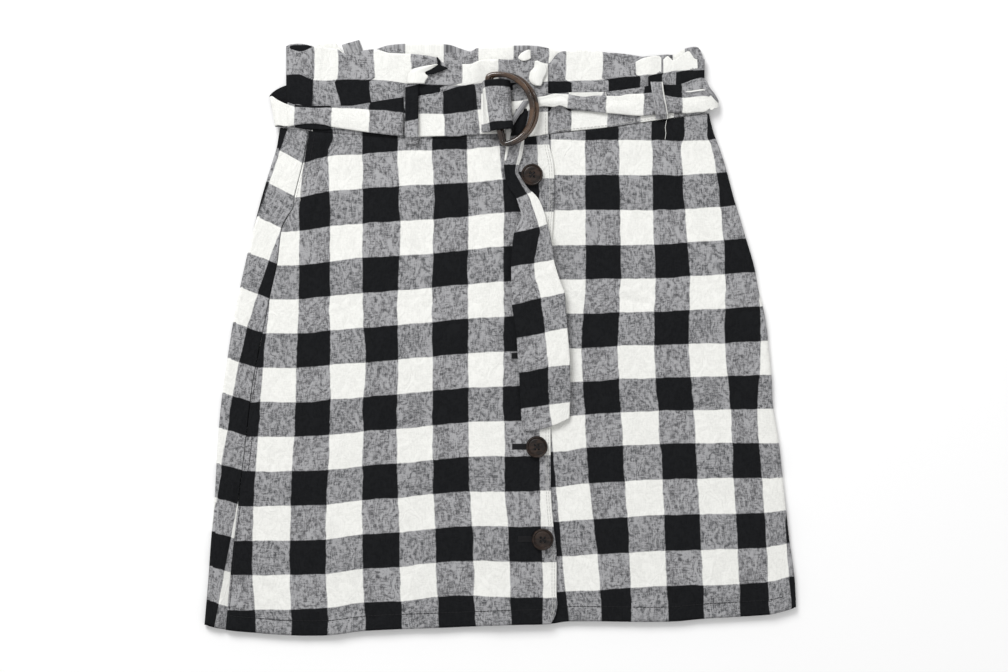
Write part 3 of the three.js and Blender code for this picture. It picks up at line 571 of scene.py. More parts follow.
def back_spot(i, share):
    def fold_end(y):
        return left_fold(y) + WALL / 2 + fold_radius(LEFT_SIDE, y)

    if i < BACK_FLAT:
        part = i / (BACK_FLAT - 1)
        x, y = panel_spot(lambda y: mix(right_fold(y) - SEAM_INSET, fold_end(y), part), share)
        warp, weft = turned_grain(left_fold(y), y)
        bump_up = max(0.0, crinkle(x, y, 40)) * smooth(0, 30, y + 240)
        return x, y, back_level(x, y) + bump_up, warp - (x - left_fold(y)) / BAND, weft
    step = i - BACK_FLAT + 1
    if step <= FOLD_STEPS:
        angle = (-1 + 2 * step / FOLD_STEPS) * math.pi / 2
        x, y = panel_spot(lambda y: left_fold(y) + WALL / 2, share)
        radius = fold_radius(x, y)
        middle = (front_level(x, y) + back_level(x, y)) / 2
        warp, weft = turned_grain(left_fold(y), y)
        x = left_fold(y) + WALL / 2 + radius * (1 - math.cos(angle))
        return x, y, middle + radius * math.sin(angle), warp + 0.08 * math.sin(angle), weft
    part = (step - FOLD_STEPS) / (BACK_RETURN - 1)

    def seam_end(y):
        return side_seam(y) - 0.5 + VENT_UNDERLAP * (1 - smooth(VENT_TOP - 14, VENT_TOP + 2, y))

    x, y = panel_spot(lambda y: mix(fold_end(y), seam_end(y), part), share)
    past = x - side_seam(y)
    duck = smooth(-7, -2, past) * (1 - smooth(VENT_TOP + 4, VENT_TOP + 26, y)) * 1.7
    near_fold = smooth(0, 10, x - left_fold(y) - 2)
    lift = crinkle(x, y) * near_fold * (1 - 0.8 * smooth(-6, -1, past))
    return x, y, front_level(x, y) - duck + lift, *turned_grain(x, y)


grid = []
for j in range(BACK_ROWS):
    share = j / (BACK_ROWS - 1)
    grid.append([back_spot(i, share) for i in range(BACK_FLAT + FOLD_STEPS + BACK_RETURN - 1)])
cloth("back_panel_cloth", ["back_panel"], grid)

# ---- Left front ------------------------------------------------------------------------
# The front panel that buttons over. Its front edge is turned under as the button stand, its
# lower edge has a narrow hem, and its upper left edge is the slanted mouth of the pocket.

# free edge of the button stand: height, x
STAND_EDGE = [
    (-240, 40.6), (-236, 42.0), (-230, 45.2), (-220, 47.2), (-214, 46.4), (-176, 46.2), (-156, 43.8),
    (-126, 41.7), (30, 41.7), (76, 42.5), (113, 44.4), (141, 44.0), (161, 40.2), (228, 39.6),
]  # fmt: skip

# weft lines: x, then the height of lines 0, 3, 6, 9 and 13
LEFT_WEFT = [
    (-205.0, 142.0, 59.6, -25.2, -111.0, -225.5),
    (-165.4, 143.6, 59.4, -25.2, -110.6, -224.8),
    (-140.7, 149.3, 62.3, -23.1, -109.7, -223.6),
    (-113.4, 151.0, 65.2, -21.1, -106.4, -219.5),
    (-83.7, 153.5, 66.8, -18.6, -104.4, -218.2),
    (-54.0, 154.3, 69.3, -15.7, -101.5, -214.5),
    (-26.0, 155.1, 71.8, -13.2, -99.0, -213.3),
    (3.7, 157.6, 75.1, -12.1, -98.2, -214.5),
    (40.0, 158.5, 75.5, -11.5, -97.8, -215.1),
]
# warp lines -1 to 8: height, then x of each
LEFT_WARP = [
    (-239.0, -202.1, -172.4, -142.5, -111.6, -81.4, -50.6, -20.1, 9.0, 34.6, 62.6),
    (-230.0, -202.4, -172.6, -142.5, -111.7, -81.7, -51.0, -20.4, 8.7, 34.8, 63.4),
    (-215.0, -203.1, -173.5, -143.4, -112.6, -82.6, -51.9, -21.6, 7.8, 34.9, 64.0),
    (-194.7, -204.9, -173.9, -144.2, -113.5, -82.9, -52.9, -21.8, 8.1, 34.7, 63.7),
    (-158.0, -204.5, -173.5, -144.1, -114.1, -83.6, -54.0, -23.2, 6.4, 33.4, 62.0),
    (-122.0, -203.0, -172.7, -142.7, -114.2, -84.9, -55.4, -26.0, 3.6, 32.5, 61.1),
    (-90.0, -200.9, -170.8, -141.5, -113.5, -85.5, -55.9, -26.1, 3.7, 32.3, 60.9),
    (-56.0, -198.2, -169.1, -140.2, -113.8, -85.4, -56.3, -26.4, 1.9, 32.0, 60.6),
    (-25.0, -196.2, -168.5, -140.5, -111.5, -84.3, -56.1, -26.6, 2.4, 31.9, 60.5),
    (31.0, -190.6, -166.5, -141.1, -113.7, -85.0, -56.5, -26.8, 2.6, 31.8, 60.4),
    (80.0, -187.9, -166.1, -140.9, -113.8, -82.8, -55.6, -27.0, 2.7, 31.8, 60.4),
    (113.0, -186.0, -165.8, -140.7, -113.8, -83.7, -54.9, -26.3, 2.6, 31.8, 60.4),
    (154.3, -186.0, -160.5, -142.3, -113.8, -84.7, -56.5, -27.8, -0.4, 30.5, 59.0),
    (163.4, -184.0, -159.2, -138.2, -114.0, -85.0, -56.5, -27.9, -0.8, 30.0, 58.0),
    (172.4, -183.0, -158.0, -139.8, -114.3, -85.4, -56.5, -28.0, -1.2, 29.3, 58.0),
]


def left_grain(x, y):
    return count(read(LEFT_WARP, y), -1, 1, x), count(read(LEFT_WEFT, x), 0, LINE_STEPS, y)


def stand_edge(y):
    return read(STAND_EDGE, y)[0]


STAND_LEVEL = 6.7
STAND_WAIST_LEVEL = 7.8
LAYER = 1.1  # from one layer of folded cloth to the next
STAND_WIDTH = 28
HEM_DEPTH = 12.2


def stand_level(x, y):
    return mix(STAND_LEVEL, STAND_WAIST_LEVEL, rise(x, y))


def hem_dent(x, y):
    """The stitched line of the hem, and the turned cloth that stands up a little below it."""
    up = y - read(HEM, x)[0] - HEM_DEPTH
    return -0.3 * math.exp(-((up / 1.0) ** 2)) + 0.18 * (1 - smooth(-2.5, 0, up))


def left_level(x, y):
    lift = smooth(-32, 4, x - stand_edge(y) + 41)
    level = mix(front_level(x, y), stand_level(x, y), lift)
    held = smooth(0.5, 7, x - side_seam(y)) * smooth(0, 6, waist(x) - y)
    calm = 1 - 0.75 * smooth(-34, -28, x - stand_edge(y))
    seam_dent = -0.25 * math.exp(-(((x - side_seam(y) - 3.2) / 1.0) ** 2))
    return level + crinkle(x, y) * held * calm + hem_dent(x, y) + seam_dent


# columns of the front, round the stand's edge and under it, and rows from waist to hem
LEFT_COLUMNS = 122
TURN_STEPS = 5
FACING_COLUMNS = 10
FRONT_ROWS = 184


def left_spot(i, share):
    gap = LAYER / 2
    if i < LEFT_COLUMNS:
        part = i / (LEFT_COLUMNS - 1)
        x, y = panel_spot(lambda y: mix(side_seam(y), stand_edge(y) - WALL / 2 - gap, part), share)
        return x, y, left_level(x, y), *left_grain(x, y)
    step = i - LEFT_COLUMNS + 1
    x, y = panel_spot(lambda y: stand_edge(y) - WALL / 2 - gap, share)
    warp, weft = left_grain(x, y)
    level = left_level(x, y)
    if step <= TURN_STEPS:
        angle = math.pi / 2 - math.pi * step / TURN_STEPS
        return x + gap * math.cos(angle), y, level - gap + gap * math.sin(angle), warp + 0.015 * step, weft
    part = (step - TURN_STEPS) / (FACING_COLUMNS - 1)
    x, y = panel_spot(lambda y: stand_edge(y) - WALL / 2 - gap - STAND_WIDTH * part, share)
    return x, y, left_level(x, y) - LAYER, warp + 0.08 + STAND_WIDTH * part / BAND, weft


grid = []
for j in range(FRONT_ROWS):
    share = j / (FRONT_ROWS - 1)
    grid.append([left_spot(i, share) for i in range(LEFT_COLUMNS + TURN_STEPS + FACING_COLUMNS - 1)])
cloth(
    "left_front_cloth",
    ["front_left_panel"],
    grid,
)

# ---- Right front -----------------------------------------------------------------------
# The panel that the buttons are sewn to. It runs under the button stand, and at the other side
# round the right fold to its side seam underneath.

# weft lines: x, then the height of lines 0, 3, 6, 9 and 13
RIGHT_WEFT = [
    (10.0, 162.5, 75.9, -9.1, -94.9, -210.4),
    (44.1, 162.5, 75.9, -9.1, -94.9, -210.4),
    (69.7, 162.5, 75.9, -9.1, -91.6, -209.6),
    (98.6, 162.5, 75.9, -7.4, -89.9, -207.9),
    (125.8, 162.5, 75.9, -6.6, -88.3, -206.3),
    (152.2, 161.7, 77.6, -5.8, -88.0, -205.2),
    (181.1, 163.4, 80.0, -5.0, -87.5, -204.4),
    (200.0, 163.9, 81.1, -3.9, -87.7, -203.6),
    (221.0, 164.5, 82.2, -2.8, -87.8, -202.0),
    (240.0, 165.0, 83.3, -1.7, -88.0, -197.4),
]
# warp lines -1 to 6: height, then x of each
RIGHT_WARP = [
    (-231.0, 56.1, 83.7, 108.2, 138.5, 167.9, 198.3, 222.3, 240.9),
    (-174.1, 50.3, 79.5, 106.0, 136.0, 165.7, 195.9, 219.9, 236.4),
    (-118.0, 45.3, 72.8, 102.7, 133.8, 162.6, 192.6, 215.7, 235.5),
    (-61.9, 40.8, 69.5, 99.4, 129.9, 159.6, 190.2, 212.1, 237.2),
    (-7.4, 40.0, 66.9, 96.9, 126.6, 155.5, 185.2, 214.9, 238.8),
    (47.9, 41.7, 70.3, 98.9, 127.9, 156.3, 185.6, 212.4, 236.4),
    (104.8, 41.7, 70.0, 98.6, 125.8, 152.0, 181.9, 206.7, 230.6),
    (157.6, 41.7, 70.0, 97.8, 125.2, 149.4, 174.3, 199.0, 223.0),
    (164.5, 41.7, 70.0, 97.4, 124.6, 151.8, 170.4, 196.0, 220.0),
]
UNDER_STAND = 34
# columns of the front, and underneath
RIGHT_COLUMNS = 116
RIGHT_RETURN = 10
RIGHT_SIDE = 170  # near the right fold, where the room inside it is taken
SEAM_GAP = 0.3  # left between two pieces that meet at a seam


def right_grain(x, y):
    return count(read(RIGHT_WARP, y), -1, 1, x), count(read(RIGHT_WEFT, x), 0, LINE_STEPS, y)


def right_level(x, y):
    past = x - stand_edge(y)
    level = mix(stand_level(x, y) - 2 * LAYER, front_level(x, y), smooth(2, 12, past))
    held = smooth(4, 12, past) * smooth(0, 6, waist(x) - y) * smooth(0, 10, right_fold(y) - x - 2)
    return level + crinkle(x, y) * held + hem_dent(x, y) * smooth(4, 12, past)


def right_spot(i, share):
    def fold_start(y):
        return right_fold(y) - WALL / 2 - fold_radius(RIGHT_SIDE, y)

    if i < RIGHT_COLUMNS:
        part = i / (RIGHT_COLUMNS - 1)
        x, y = panel_spot(lambda y: mix(stand_edge(y) - UNDER_STAND, fold_start(y), part), share)
        return x, y, right_level(x, y), *right_grain(x, y)
    step = i - RIGHT_COLUMNS + 1
    if step <= FOLD_STEPS:
        angle = (1 - 2 * step / FOLD_STEPS) * math.pi / 2
        x, y = panel_spot(lambda y: right_fold(y) - WALL / 2, share)
        radius = fold_radius(x, y)
        middle = (front_level(x, y) + back_level(x, y)) / 2
        warp, weft = right_grain(right_fold(y), y)
        x = right_fold(y) - WALL / 2 - radius * (1 - math.cos(angle))
        return x, y, middle + radius * math.sin(angle), warp - 0.08 * math.sin(angle), weft
    part = (step - FOLD_STEPS) / (RIGHT_RETURN - 1)
    x, y = panel_spot(lambda y: mix(fold_start(y), right_fold(y) - SEAM_INSET + SEAM_GAP, part), share)
    warp, weft = right_grain(right_fold(y), y)
    return x, y, back_level(x, y), warp + (right_fold(y) - x) / BAND, weft


grid = []
for j in range(FRONT_ROWS):
    share = j / (FRONT_ROWS - 1)
    grid.append([right_spot(i, share) for i in range(RIGHT_COLUMNS + FOLD_STEPS + RIGHT_RETURN - 1)])
cloth(
    "right_front_cloth",
    ["front_right_panel"],
    grid,
)

# ---- Side pocket -----------------------------------------------------------------------
# The bag of the left side pocket: two layers of the same cloth between the panels, sewn into
# the side seam, and seen only through the pocket's mouth.

BAG_TOP = 130
BAG_BOTTOM = -38
BAG_COLUMNS = 21
BAG_ROWS = 25


def bag_spot(u, v):
    y = mix(BAG_TOP, BAG_BOTTOM, v)
    inner = -92 - 0.4 * (38 * (1 - smooth(-38, 60, y)) + 26 * smooth(102, 130, y))
    outer = max(-199, left_fold(y) + 9) + 12 * smooth(60, 130, y)
    low = back_level(-150, y) + 1.4
    if u < 0.5:
        x = mix(outer, inner, u * 2)
        return x, y, low, x / BAND, -y / BAND
    x = mix(inner, outer, u * 2 - 1)
    return x, y, low + 1.1, (2 * inner - x) / BAND, -y / BAND


grid = []
for j in range(BAG_ROWS):
    grid.append([bag_spot(i / (BAG_COLUMNS - 1), j / (BAG_ROWS - 1)) for i in range(BAG_COLUMNS)])
cloth(
    "pocket_bag_cloth",
    ["pocket_bag_left"],
    grid,
)

# ---- Waistband and frill ---------------------------------------------------------------
# Two layers pressed together, sewn to the panels below, its upper part left as a paperbag
# frill. The left front end laps over the right front end.

# upper edge of the frill: x, height in front, height behind
FRILL = [
    (-190, 240.0, 240.0), (-178, 240.0, 240.6), (-175, 238.6, 241.4), (-170, 236.4, 242.0),
    (-165, 235.4, 242.2), (-160, 236.6, 241.4), (-155, 239.2, 240.4), (-150, 239.6, 242.4),
    (-138, 238.2, 243.4), (-134, 237.2, 241.0), (-130, 234.2, 234.4), (-127, 233.2, 233.4),
    (-117, 235.0, 235.2), (-113, 236.4, 236.4), (-103, 237.4, 237.6), (-98, 236.0, 239.4),
    (-92, 234.3, 241.0), (-74, 233.5, 242.4), (-55, 231.0, 242.4), (-50, 228.5, 242.0),
    (-47, 226.0, 241.8), (-41, 225.2, 241.0), (-30, 225.2, 237.2), (-24, 225.2, 235.8), (-20, 227.2, 238.4),
    (-16.5, 228.4, 238.8), (-13, 229.2, 239.2), (11, 228.5, 240.6), (29, 227.7, 240.4),
    (40, 225.6, 238.4), (46, 233.0, 236.4), (50, 235.2, 236.0), (56, 236.0, 235.4), (70, 236.6, 235.4),
    (84, 235.0, 234.4), (92, 233.6, 234.6), (100, 230.0, 234.0), (107, 225.6, 233.2), (112, 227.2, 232.4),
    (117, 229.8, 231.6), (131, 232.0, 232.6), (134, 228.8, 233.0), (138, 231.8, 233.4), (142, 228.2, 233.0),
    (150, 233.0, 237.4), (155.6, 235.8, 239.0), (160, 229.6, 239.6), (164, 229.0, 238.6),
    (170, 228.4, 228.0), (185, 228.0, 227.0),
]  # fmt: skip

# line between frill and band: x, height
FRILL_LINE = [
    (-177, 216.2), (-165.4, 216.2), (-153.9, 212.0), (-134.1, 212.0), (-107.7, 212.4), (-82.9, 210.0),
    (-62.3, 208.3), (-31.8, 207.6), (-14.4, 209.6), (16.1, 209.6), (35.9, 210.4), (59.0, 211.2),
    (88.7, 212.6), (104.4, 214.8), (115.9, 215.7), (133.2, 217.5), (144.0, 219.5), (170, 220.3),
]  # fmt: skip
BAND_ROW = 24.7  # from that line to the next weft line of the band

# warp lines of the band: above the gathers, and below them, from the numbered line on
BAND_LEFT_LINES = {
    "first": 0,
    "frill": (-180.0, -153.3, -134.2, -104.0, -73.8, -31.2, -1.6, 28.5, 58.2),
    "band": (-177.4, -154.6, -137.0, -108.4, -78.6, -49.1, -19.4, 10.3, 40.0),
    "low": (-178.0, -155.6, -131.6, -106.0, -78.4, -49.1, -19.4, 10.3, 40.0),
    "drop": (-212, -188),
}
BAND_RIGHT_LINES = {
    "first": -1,
    "frill": (-5.0, 24.3, 54.0, 84.2, 111.5, 133.0, 133.7, 162.9, 176.0),
    "band": (0.0, 29.3, 59.0, 89.0, 115.9, 121.7, 133.6, 144.3, 168.7),
    "low": (0.0, 29.3, 58.4, 88.2, 115.4, 143.0, 171.0, 199.0, 228.0),
    "drop": (-196, -188),
}
# warp lines of the band's back: x, number of the line
BACK_LINES = [
    (-177.0, 0.94), (-156.0, 0.0), (-104.0, -1.0), (-78.4, -2.0), (-47.0, -3.0), (-18.0, -4.0),
    (11.0, -5.0), (40.0, -6.0), (70.0, -7.0), (146.0, -8.0),
]  # fmt: skip


def band_grain(x, y, lines):
    line = read(FRILL_LINE, x)[0]
    share = smooth(-1.2, 1.2, y - line)
    drop = smooth(*lines["drop"], -y)
    below = [mix(high, low, drop) for low, high in zip(lines["low"], lines["band"])]
    at = [mix(low, high, share) for low, high in zip(below, lines["frill"])]
    row = BAND_ROW - 5.5 * smooth(40, 44, x) * (1 - smooth(50, 57, x))
    if y > line - row:
        weft = 1 + (line - y) / (BAND if y > line else row)
    else:
        weft = 2 + (line - row - y) / BAND
    return count(at, lines["first"], 1, x), max(weft, 0.05)


def back_line(x):
    k = 0
    while k < len(BACK_LINES) - 2 and BACK_LINES[k + 1][0] < x:
        k += 1
    (x0, low), (x1, high) = BACK_LINES[k], BACK_LINES[k + 1]
    return mix(low, high, (x - x0) / (x1 - x0))


BAND_BACK_LEVEL = 3.5
BAND_LEVEL = 5.6
BAND_WALL = 1.15
BAND_ROWS = 44


def frill_wave(x, up, seed):
    """Folds of the frill, which grow from the gathers to the free edge."""
    grow = smooth(0.56, 1.0, up)
    fold = 0.5 + 0.5 * math.sin(x / 3.9 + 2.3 * math.sin(x / 23 + seed) + seed)
    tuck = math.exp(-(((up - 0.62) / 0.13) ** 2)) * noise.noise(Vector((x / 3.2, seed, up * 2)))
    return grow * fold * 1.1 + 0.55 * tuck + 0.3 * noise.noise(Vector((x / 8, up * 5, seed)))


def band_spot(x, up, level, side, lines, calm=1.0):
    top = read(FRILL, x)[0 if side == "front" else 1]
    y = mix(waist(x) + seam_gap(x), top, up)
    if side == "front":
        mouth = 1.8 * math.exp(-(((x + 163) / 9) ** 2)) * smooth(0.7, 1.0, up)
        z = level + frill_wave(x, up, 1.0) * calm + mouth
    else:
        z = level - max(0.0, frill_wave(x, up, 5.0)) * 0.6
    return x, y, z, *band_grain(x, y, lines)


BAND_FOLD_LEFT = -177.0
BAND_FOLD_RIGHT = 168.5
BAND_SEAM_LEFT = -154.5
BAND_SEAM_RIGHT = BAND_FOLD_RIGHT - SEAM_INSET
BAND_RADIUS = (BAND_LEVEL - BAND_BACK_LEVEL) / 2
FOLD_START = BAND_WALL / 2 + BAND_RADIUS


def band_turn(fold, inwards, turn, up, lines):
    """A point of the band as it goes round a fold; turn is -1 underneath and 1 in front."""
    angle = turn * math.pi / 2
    x = fold + inwards * (BAND_WALL / 2 + BAND_RADIUS * (1 - math.cos(angle)))
    front, behind = read(FRILL, fold)
    y = mix(waist(fold) + SEAM_GAP, mix(behind, front, (turn + 1) / 2), up)
    z = (BAND_BACK_LEVEL + BAND_LEVEL) / 2 + BAND_RADIUS * math.sin(angle)
    in_front = frill_wave(x, up, 1.0) * smooth(0, 1, turn)
    behind_it = max(0.0, frill_wave(x, up, 5.0)) * 0.6 * smooth(0, 1, -turn)
    z += in_front - behind_it
    warp, weft = band_grain(fold, y, lines)
    return x, y, z, warp + inwards * 0.05 * turn, weft


# columns of the band's back and of what it shows in front, and steps round a fold
BAND_BACK_COLUMNS = 140
BAND_RETURN_COLUMNS = 12
BAND_TURN_STEPS = 8
grid = []
for j in range(BAND_ROWS):
    up = 1 - j / (BAND_ROWS - 1)
    line = []
    for i in range(BAND_BACK_COLUMNS):
        share = i / (BAND_BACK_COLUMNS - 1)
        x = mix(BAND_SEAM_RIGHT - SEAM_GAP, BAND_FOLD_LEFT + FOLD_START, share)
        spot = band_spot(x, up, BAND_BACK_LEVEL, "back", BAND_LEFT_LINES)
        line.append((*spot[:3], back_line(x), spot[4]))
    for i in range(1, BAND_TURN_STEPS):
        share = i / BAND_TURN_STEPS
        spot = band_turn(BAND_FOLD_LEFT, 1, -1 + 2 * share, up, BAND_LEFT_LINES)
        line.append((*spot[:3], mix(0.94, 0.1, share), spot[4]))
    for i in range(BAND_RETURN_COLUMNS):
        share = i / (BAND_RETURN_COLUMNS - 1)
        x = mix(BAND_FOLD_LEFT + FOLD_START, BAND_SEAM_LEFT - SEAM_GAP, share)
        line.append(band_spot(x, up, BAND_LEVEL, "front", BAND_LEFT_LINES))
    grid.append(line)
cloth(
    "waistband_back_cloth",
    ["waistband_back"],
    grid,
    wall=BAND_WALL,
)

BAND_END = 39.2  # free end of the left front's band
BAND_LAP = 22  # how far it laps over the right front's
BAND_LEFT_COLUMNS = 110
BAND_RIGHT_COLUMNS = 84
BAND_UNDER_COLUMNS = 14


def band_step(x):
    return 1.7 * smooth(BAND_END - BAND_LAP - 16, BAND_END - BAND_LAP - 2, x)


grid = []
for j in range(BAND_ROWS):
    up = 1 - j / (BAND_ROWS - 1)
    line = []
    for i in range(BAND_LEFT_COLUMNS):
        x = mix(BAND_SEAM_LEFT, BAND_END, i / (BAND_LEFT_COLUMNS - 1))
        spot = band_spot(x, up, BAND_LEVEL + band_step(x), "front", BAND_LEFT_LINES)
        if spot[1] < waist(x) + 7 and x < 15:
            spot = (*spot[:3], *left_grain(x, waist(x) + (spot[1] - waist(x)) * 0.3))
        line.append(spot)
    grid.append(line)
cloth(
    "waistband_left_cloth",
    ["waistband_front_left"],
    grid,
    wall=BAND_WALL,
)

grid = []
for j in range(BAND_ROWS):
    up = 1 - j / (BAND_ROWS - 1)
    line = []
    for i in range(BAND_RIGHT_COLUMNS):
        x = mix(BAND_END - BAND_LAP, BAND_FOLD_RIGHT - FOLD_START, i / (BAND_RIGHT_COLUMNS - 1))
        calm = smooth(BAND_END - 2, BAND_END + 14, x)
        line.append(band_spot(x, up, BAND_LEVEL, "front", BAND_RIGHT_LINES, calm))
    for i in range(1, BAND_TURN_STEPS):
        line.append(band_turn(BAND_FOLD_RIGHT, -1, 1 - 2 * i / BAND_TURN_STEPS, up, BAND_RIGHT_LINES))
    for i in range(BAND_UNDER_COLUMNS):
        x = mix(BAND_FOLD_RIGHT - FOLD_START, BAND_SEAM_RIGHT, i / (BAND_UNDER_COLUMNS - 1))
        spot = band_spot(x, up, BAND_BACK_LEVEL, "back", BAND_RIGHT_LINES)
        fold_warp = band_grain(BAND_FOLD_RIGHT, spot[1], BAND_RIGHT_LINES)[0]
        line.append((*spot[:3], fold_warp + (BAND_FOLD_RIGHT - x) / BAND, spot[4]))
    grid.append(line)
cloth(
    "waistband_right_cloth",
    ["waistband_front_right"],
    grid,
    wall=BAND_WALL,
)

# ---- Small folds of the frill ----------------------------------------------------------
# Where the frill is creased hard, small folds stand on the band: the open mouth of its left end,
# with a black sheet inside it that is painted shade, a pleat left of the rings whose inside is drawn
# in black cloth as painted shade, and the turned corners of the band's two ends by the rings.


def refine(points, share):
    """A point on a smooth run through a list of points, at a share of their count."""
    spot = share * (len(points) - 1)
    k = min(int(spot), len(points) - 2)
    t = spot - k
    b, c = points[k], points[k + 1]
    a = points[k - 1] if k > 0 else tuple(2 * p - q for p, q in zip(b, c))
    d = points[k + 2] if k + 2 < len(points) else tuple(2 * q - p for p, q in zip(b, c))
    return tuple(
        0.5 * (2 * q + (r - p) * t + (2 * p - 5 * q + 4 * r - s) * t**2 + (3 * q - p - 3 * r + s) * t**3)
        for p, q, r, s in zip(a, b, c, d)
    )


def refined(grid, columns, rows, ruffle=0.0):
    """A coarse grid made smooth and fine, with a little crinkle if asked for."""
    lines = [[refine(line, i / (columns - 1)) for i in range(columns)] for line in grid]
    fine = []
    for j in range(rows):
        fine.append([refine([line[i] for line in lines], j / (rows - 1)) for i in range(columns)])
    if ruffle:
        for line in fine:
            for i, (x, y, z, warp, weft) in enumerate(line):
                line[i] = (x, y, z + ruffle * crinkle(x * 1.7, y * 1.7, 3), warp, weft)
    return fine


def fold_piece(name, rows, level, bulge, warp, weft):
    """A small fold: rows give height, left x, right x; warp and weft are constant over it."""
    grid = []
    for y, left, right in rows:
        line = []
        for i in range(5):
            share = i / 4
            crown = math.sin(math.pi * share)
            line.append((mix(left, right, share), y, level + bulge * crown, warp + share * 0.3, weft))
        grid.append(line)
    fine = refined(grid, 14, 16, 0.4)
    cloth(name, [], fine, wall=0.6)


# a sheet of black cloth inside the mouth: painted shade of the opening
fold_piece(
    "frill_mouth_painted_shade",
    [
        (241.0, -171.0, -160.0), (240.2, -173.4, -157.0), (239.2, -174.0, -155.4), (238.0, -173.4, -155.0),
        (236.6, -171.6, -156.0), (235.6, -169.0, -159.0),
    ],
    4.9, 0.1, 0.4, 1.5,
)  # fmt: skip
fold_piece(
    "frill_pleat",
    [
        (224.6, -53.5, -51.6), (223.0, -63.0, -53.8), (220.8, -72.0, -57.0), (218.4, -74.6, -62.0),
        (216.5, -75.6, -61.5), (214.6, -76.4, -59.4), (211.5, -76.8, -61.6), (208.8, -76.6, -62.6),
    ],
    8.4, 0.8, 1.3, 0.5,
)  # fmt: skip
# the cloth inside the pleat, made black as painted shade; the frill around it is grey
fold_piece(
    "frill_pleat_inside_painted_shade",
    [
        (230.6, -52.8, -51.9), (227.0, -52.0, -49.3), (224.0, -52.6, -49.2), (221.8, -55.5, -43.4),
        (219.8, -62.5, -46.6), (218.0, -63.6, -51.4), (216.4, -60.5, -56.0),
    ],
    7.7, 0.2, 2.3, 1.5,
)  # fmt: skip
fold_piece(
    "frill_corner_right",
    [
        (236.4, 22.9, 24.6), (234.4, 18.2, 24.7), (231.8, 15.4, 24.8), (229.4, 14.8, 24.8),
        (227.4, 18.0, 20.4),
    ],
    9.4, 0.6, 1.3, 0.5,
)  # fmt: skip
fold_piece(
    "frill_corner_left",
    [
        (227.4, 28.4, 30.6), (224.6, 28.0, 35.6), (221.6, 27.4, 37.8), (218.6, 24.6, 38.2),
        (215.4, 23.8, 36.8), (212.4, 23.4, 35.0), (209.0, 25.4, 34.4), (206.8, 29.0, 33.0),
    ],
    9.6, 1.2, 1.3, 0.5,
)  # fmt: skip

# ---- Belt ------------------------------------------------------------------------------
# One strip of the same cloth, 41 mm wide, sewn double. Its dark row of checks is folded behind its
# light row at the left, and it lies open between the left loop and the rings.

BELT_LEVEL = 7.3
BELT_UPPER_LEVEL = 8.8

# left stretch: x, upper and lower edge of its light row, top of the dark row behind, its low edge
BELT_LEFT = [
    (-175.5, 191.8, 173.4, 191.9, 174.4),
    (-170.0, 189.8, 174.6, 190.0, 173.2),
    (-162.0, 188.9, 175.8, 189.1, 171.6),
    (-153.0, 188.7, 175.9, 188.9, 170.9),
    (-145.0, 188.8, 175.0, 189.0, 171.0),
    (-138.0, 188.7, 173.2, 189.0, 171.6),
    (-124.0, 188.3, 171.0, 188.9, 171.4),
    (-114.0, 187.9, 169.6, 190.4, 171.0),
    (-104.0, 187.3, 168.2, 192.2, 170.0),
    (-92.0, 186.2, 166.8, 194.2, 168.8),
    (-80.0, 184.8, 165.8, 195.8, 168.0),
]
BELT_LEFT_LINES = (-189.0, -169.8, -139.5, -108.0, -78.8, -49.0)

grid = []
for x, top, low, behind, hidden in BELT_LEFT:
    warp = count(BELT_LEFT_LINES, 1, 1, x)
    grid.append(
        [
            (x, low, BELT_UPPER_LEVEL - 0.7, warp, 2.78),
            (x, low + 1.0, BELT_UPPER_LEVEL, warp, 2.72),
            (x, mix(low, top, 0.4), BELT_UPPER_LEVEL + 0.5, warp, 2.45),
            (x, mix(low, top, 0.75), BELT_UPPER_LEVEL + 0.4, warp, 2.2),
            (x, top, BELT_UPPER_LEVEL, warp, 2.0),
            (x, mix(top, behind, 0.4) + 0.2, BELT_UPPER_LEVEL - 0.5, warp, 1.9),
            (x, mix(top, behind, 0.9) + 0.4, BELT_UPPER_LEVEL - 0.8, warp, 1.62),
            # at the top of the dark row behind, the weft dips into the light row for a thin line: painted
            # highlight along the fold
            (x, behind + 1.0, BELT_LEVEL + 0.3, warp, 0.9),
            (x, mix(behind, hidden, 0.3), BELT_LEVEL, warp, 1.1),
            (x, hidden + 1.4, BELT_LEVEL, warp, 1.25),
            (x, hidden, BELT_LEVEL, warp, 1.2),
        ]
    )
cloth(
    "belt_left_cloth",
    ["belt_left"],
    refined(grid, 44, 52, 0.5),
)

# round the left side, the inside of its dark row showing above the front
# x, level, top edge, lower edge, warp, weft at the top edge
TURN_LEFT = [
    (-166.0, 4.4, 209.0, 174.0, 0.15, 1.25),
    (-172.0, 4.4, 208.4, 174.0, 0.35, 1.25),
    (-178.0, 4.2, 207.4, 173.6, 0.5, 1.3),
    (-184.0, 3.8, 204.8, 173.4, 0.7, 1.4),
    (-188.4, 3.9, 201.8, 173.4, 0.9, 1.5),
    (-190.1, 5.0, 199.4, 173.6, 0.98, 1.75),
    (-190.0, 6.8, 198.2, 174.0, 1.02, 2.02),
    (-188.0, 8.2, 198.4, 174.4, 1.1, 2.04),
    (-184.0, 8.8, 195.6, 174.2, 1.25, 2.04),
    (-178.0, 9.0, 192.6, 173.6, 1.45, 2.04),
    (-174.0, 9.0, 191.2, 173.8, 1.6, 2.04),
]
grid = []
for x, z, top, low, warp, weft in TURN_LEFT:
    line = []
    for i in range(7):
        share = i / 6
        drawn_in = 4.6 * share * smooth(178, 188, -x)
        line.append((x + drawn_in, mix(top, low, share), z, warp, mix(weft, 2.78, share)))
    grid.append(line)
cloth("belt_turn_left_cloth", ["belt_turn_left"], refined(grid, 26, 44, 0.3))

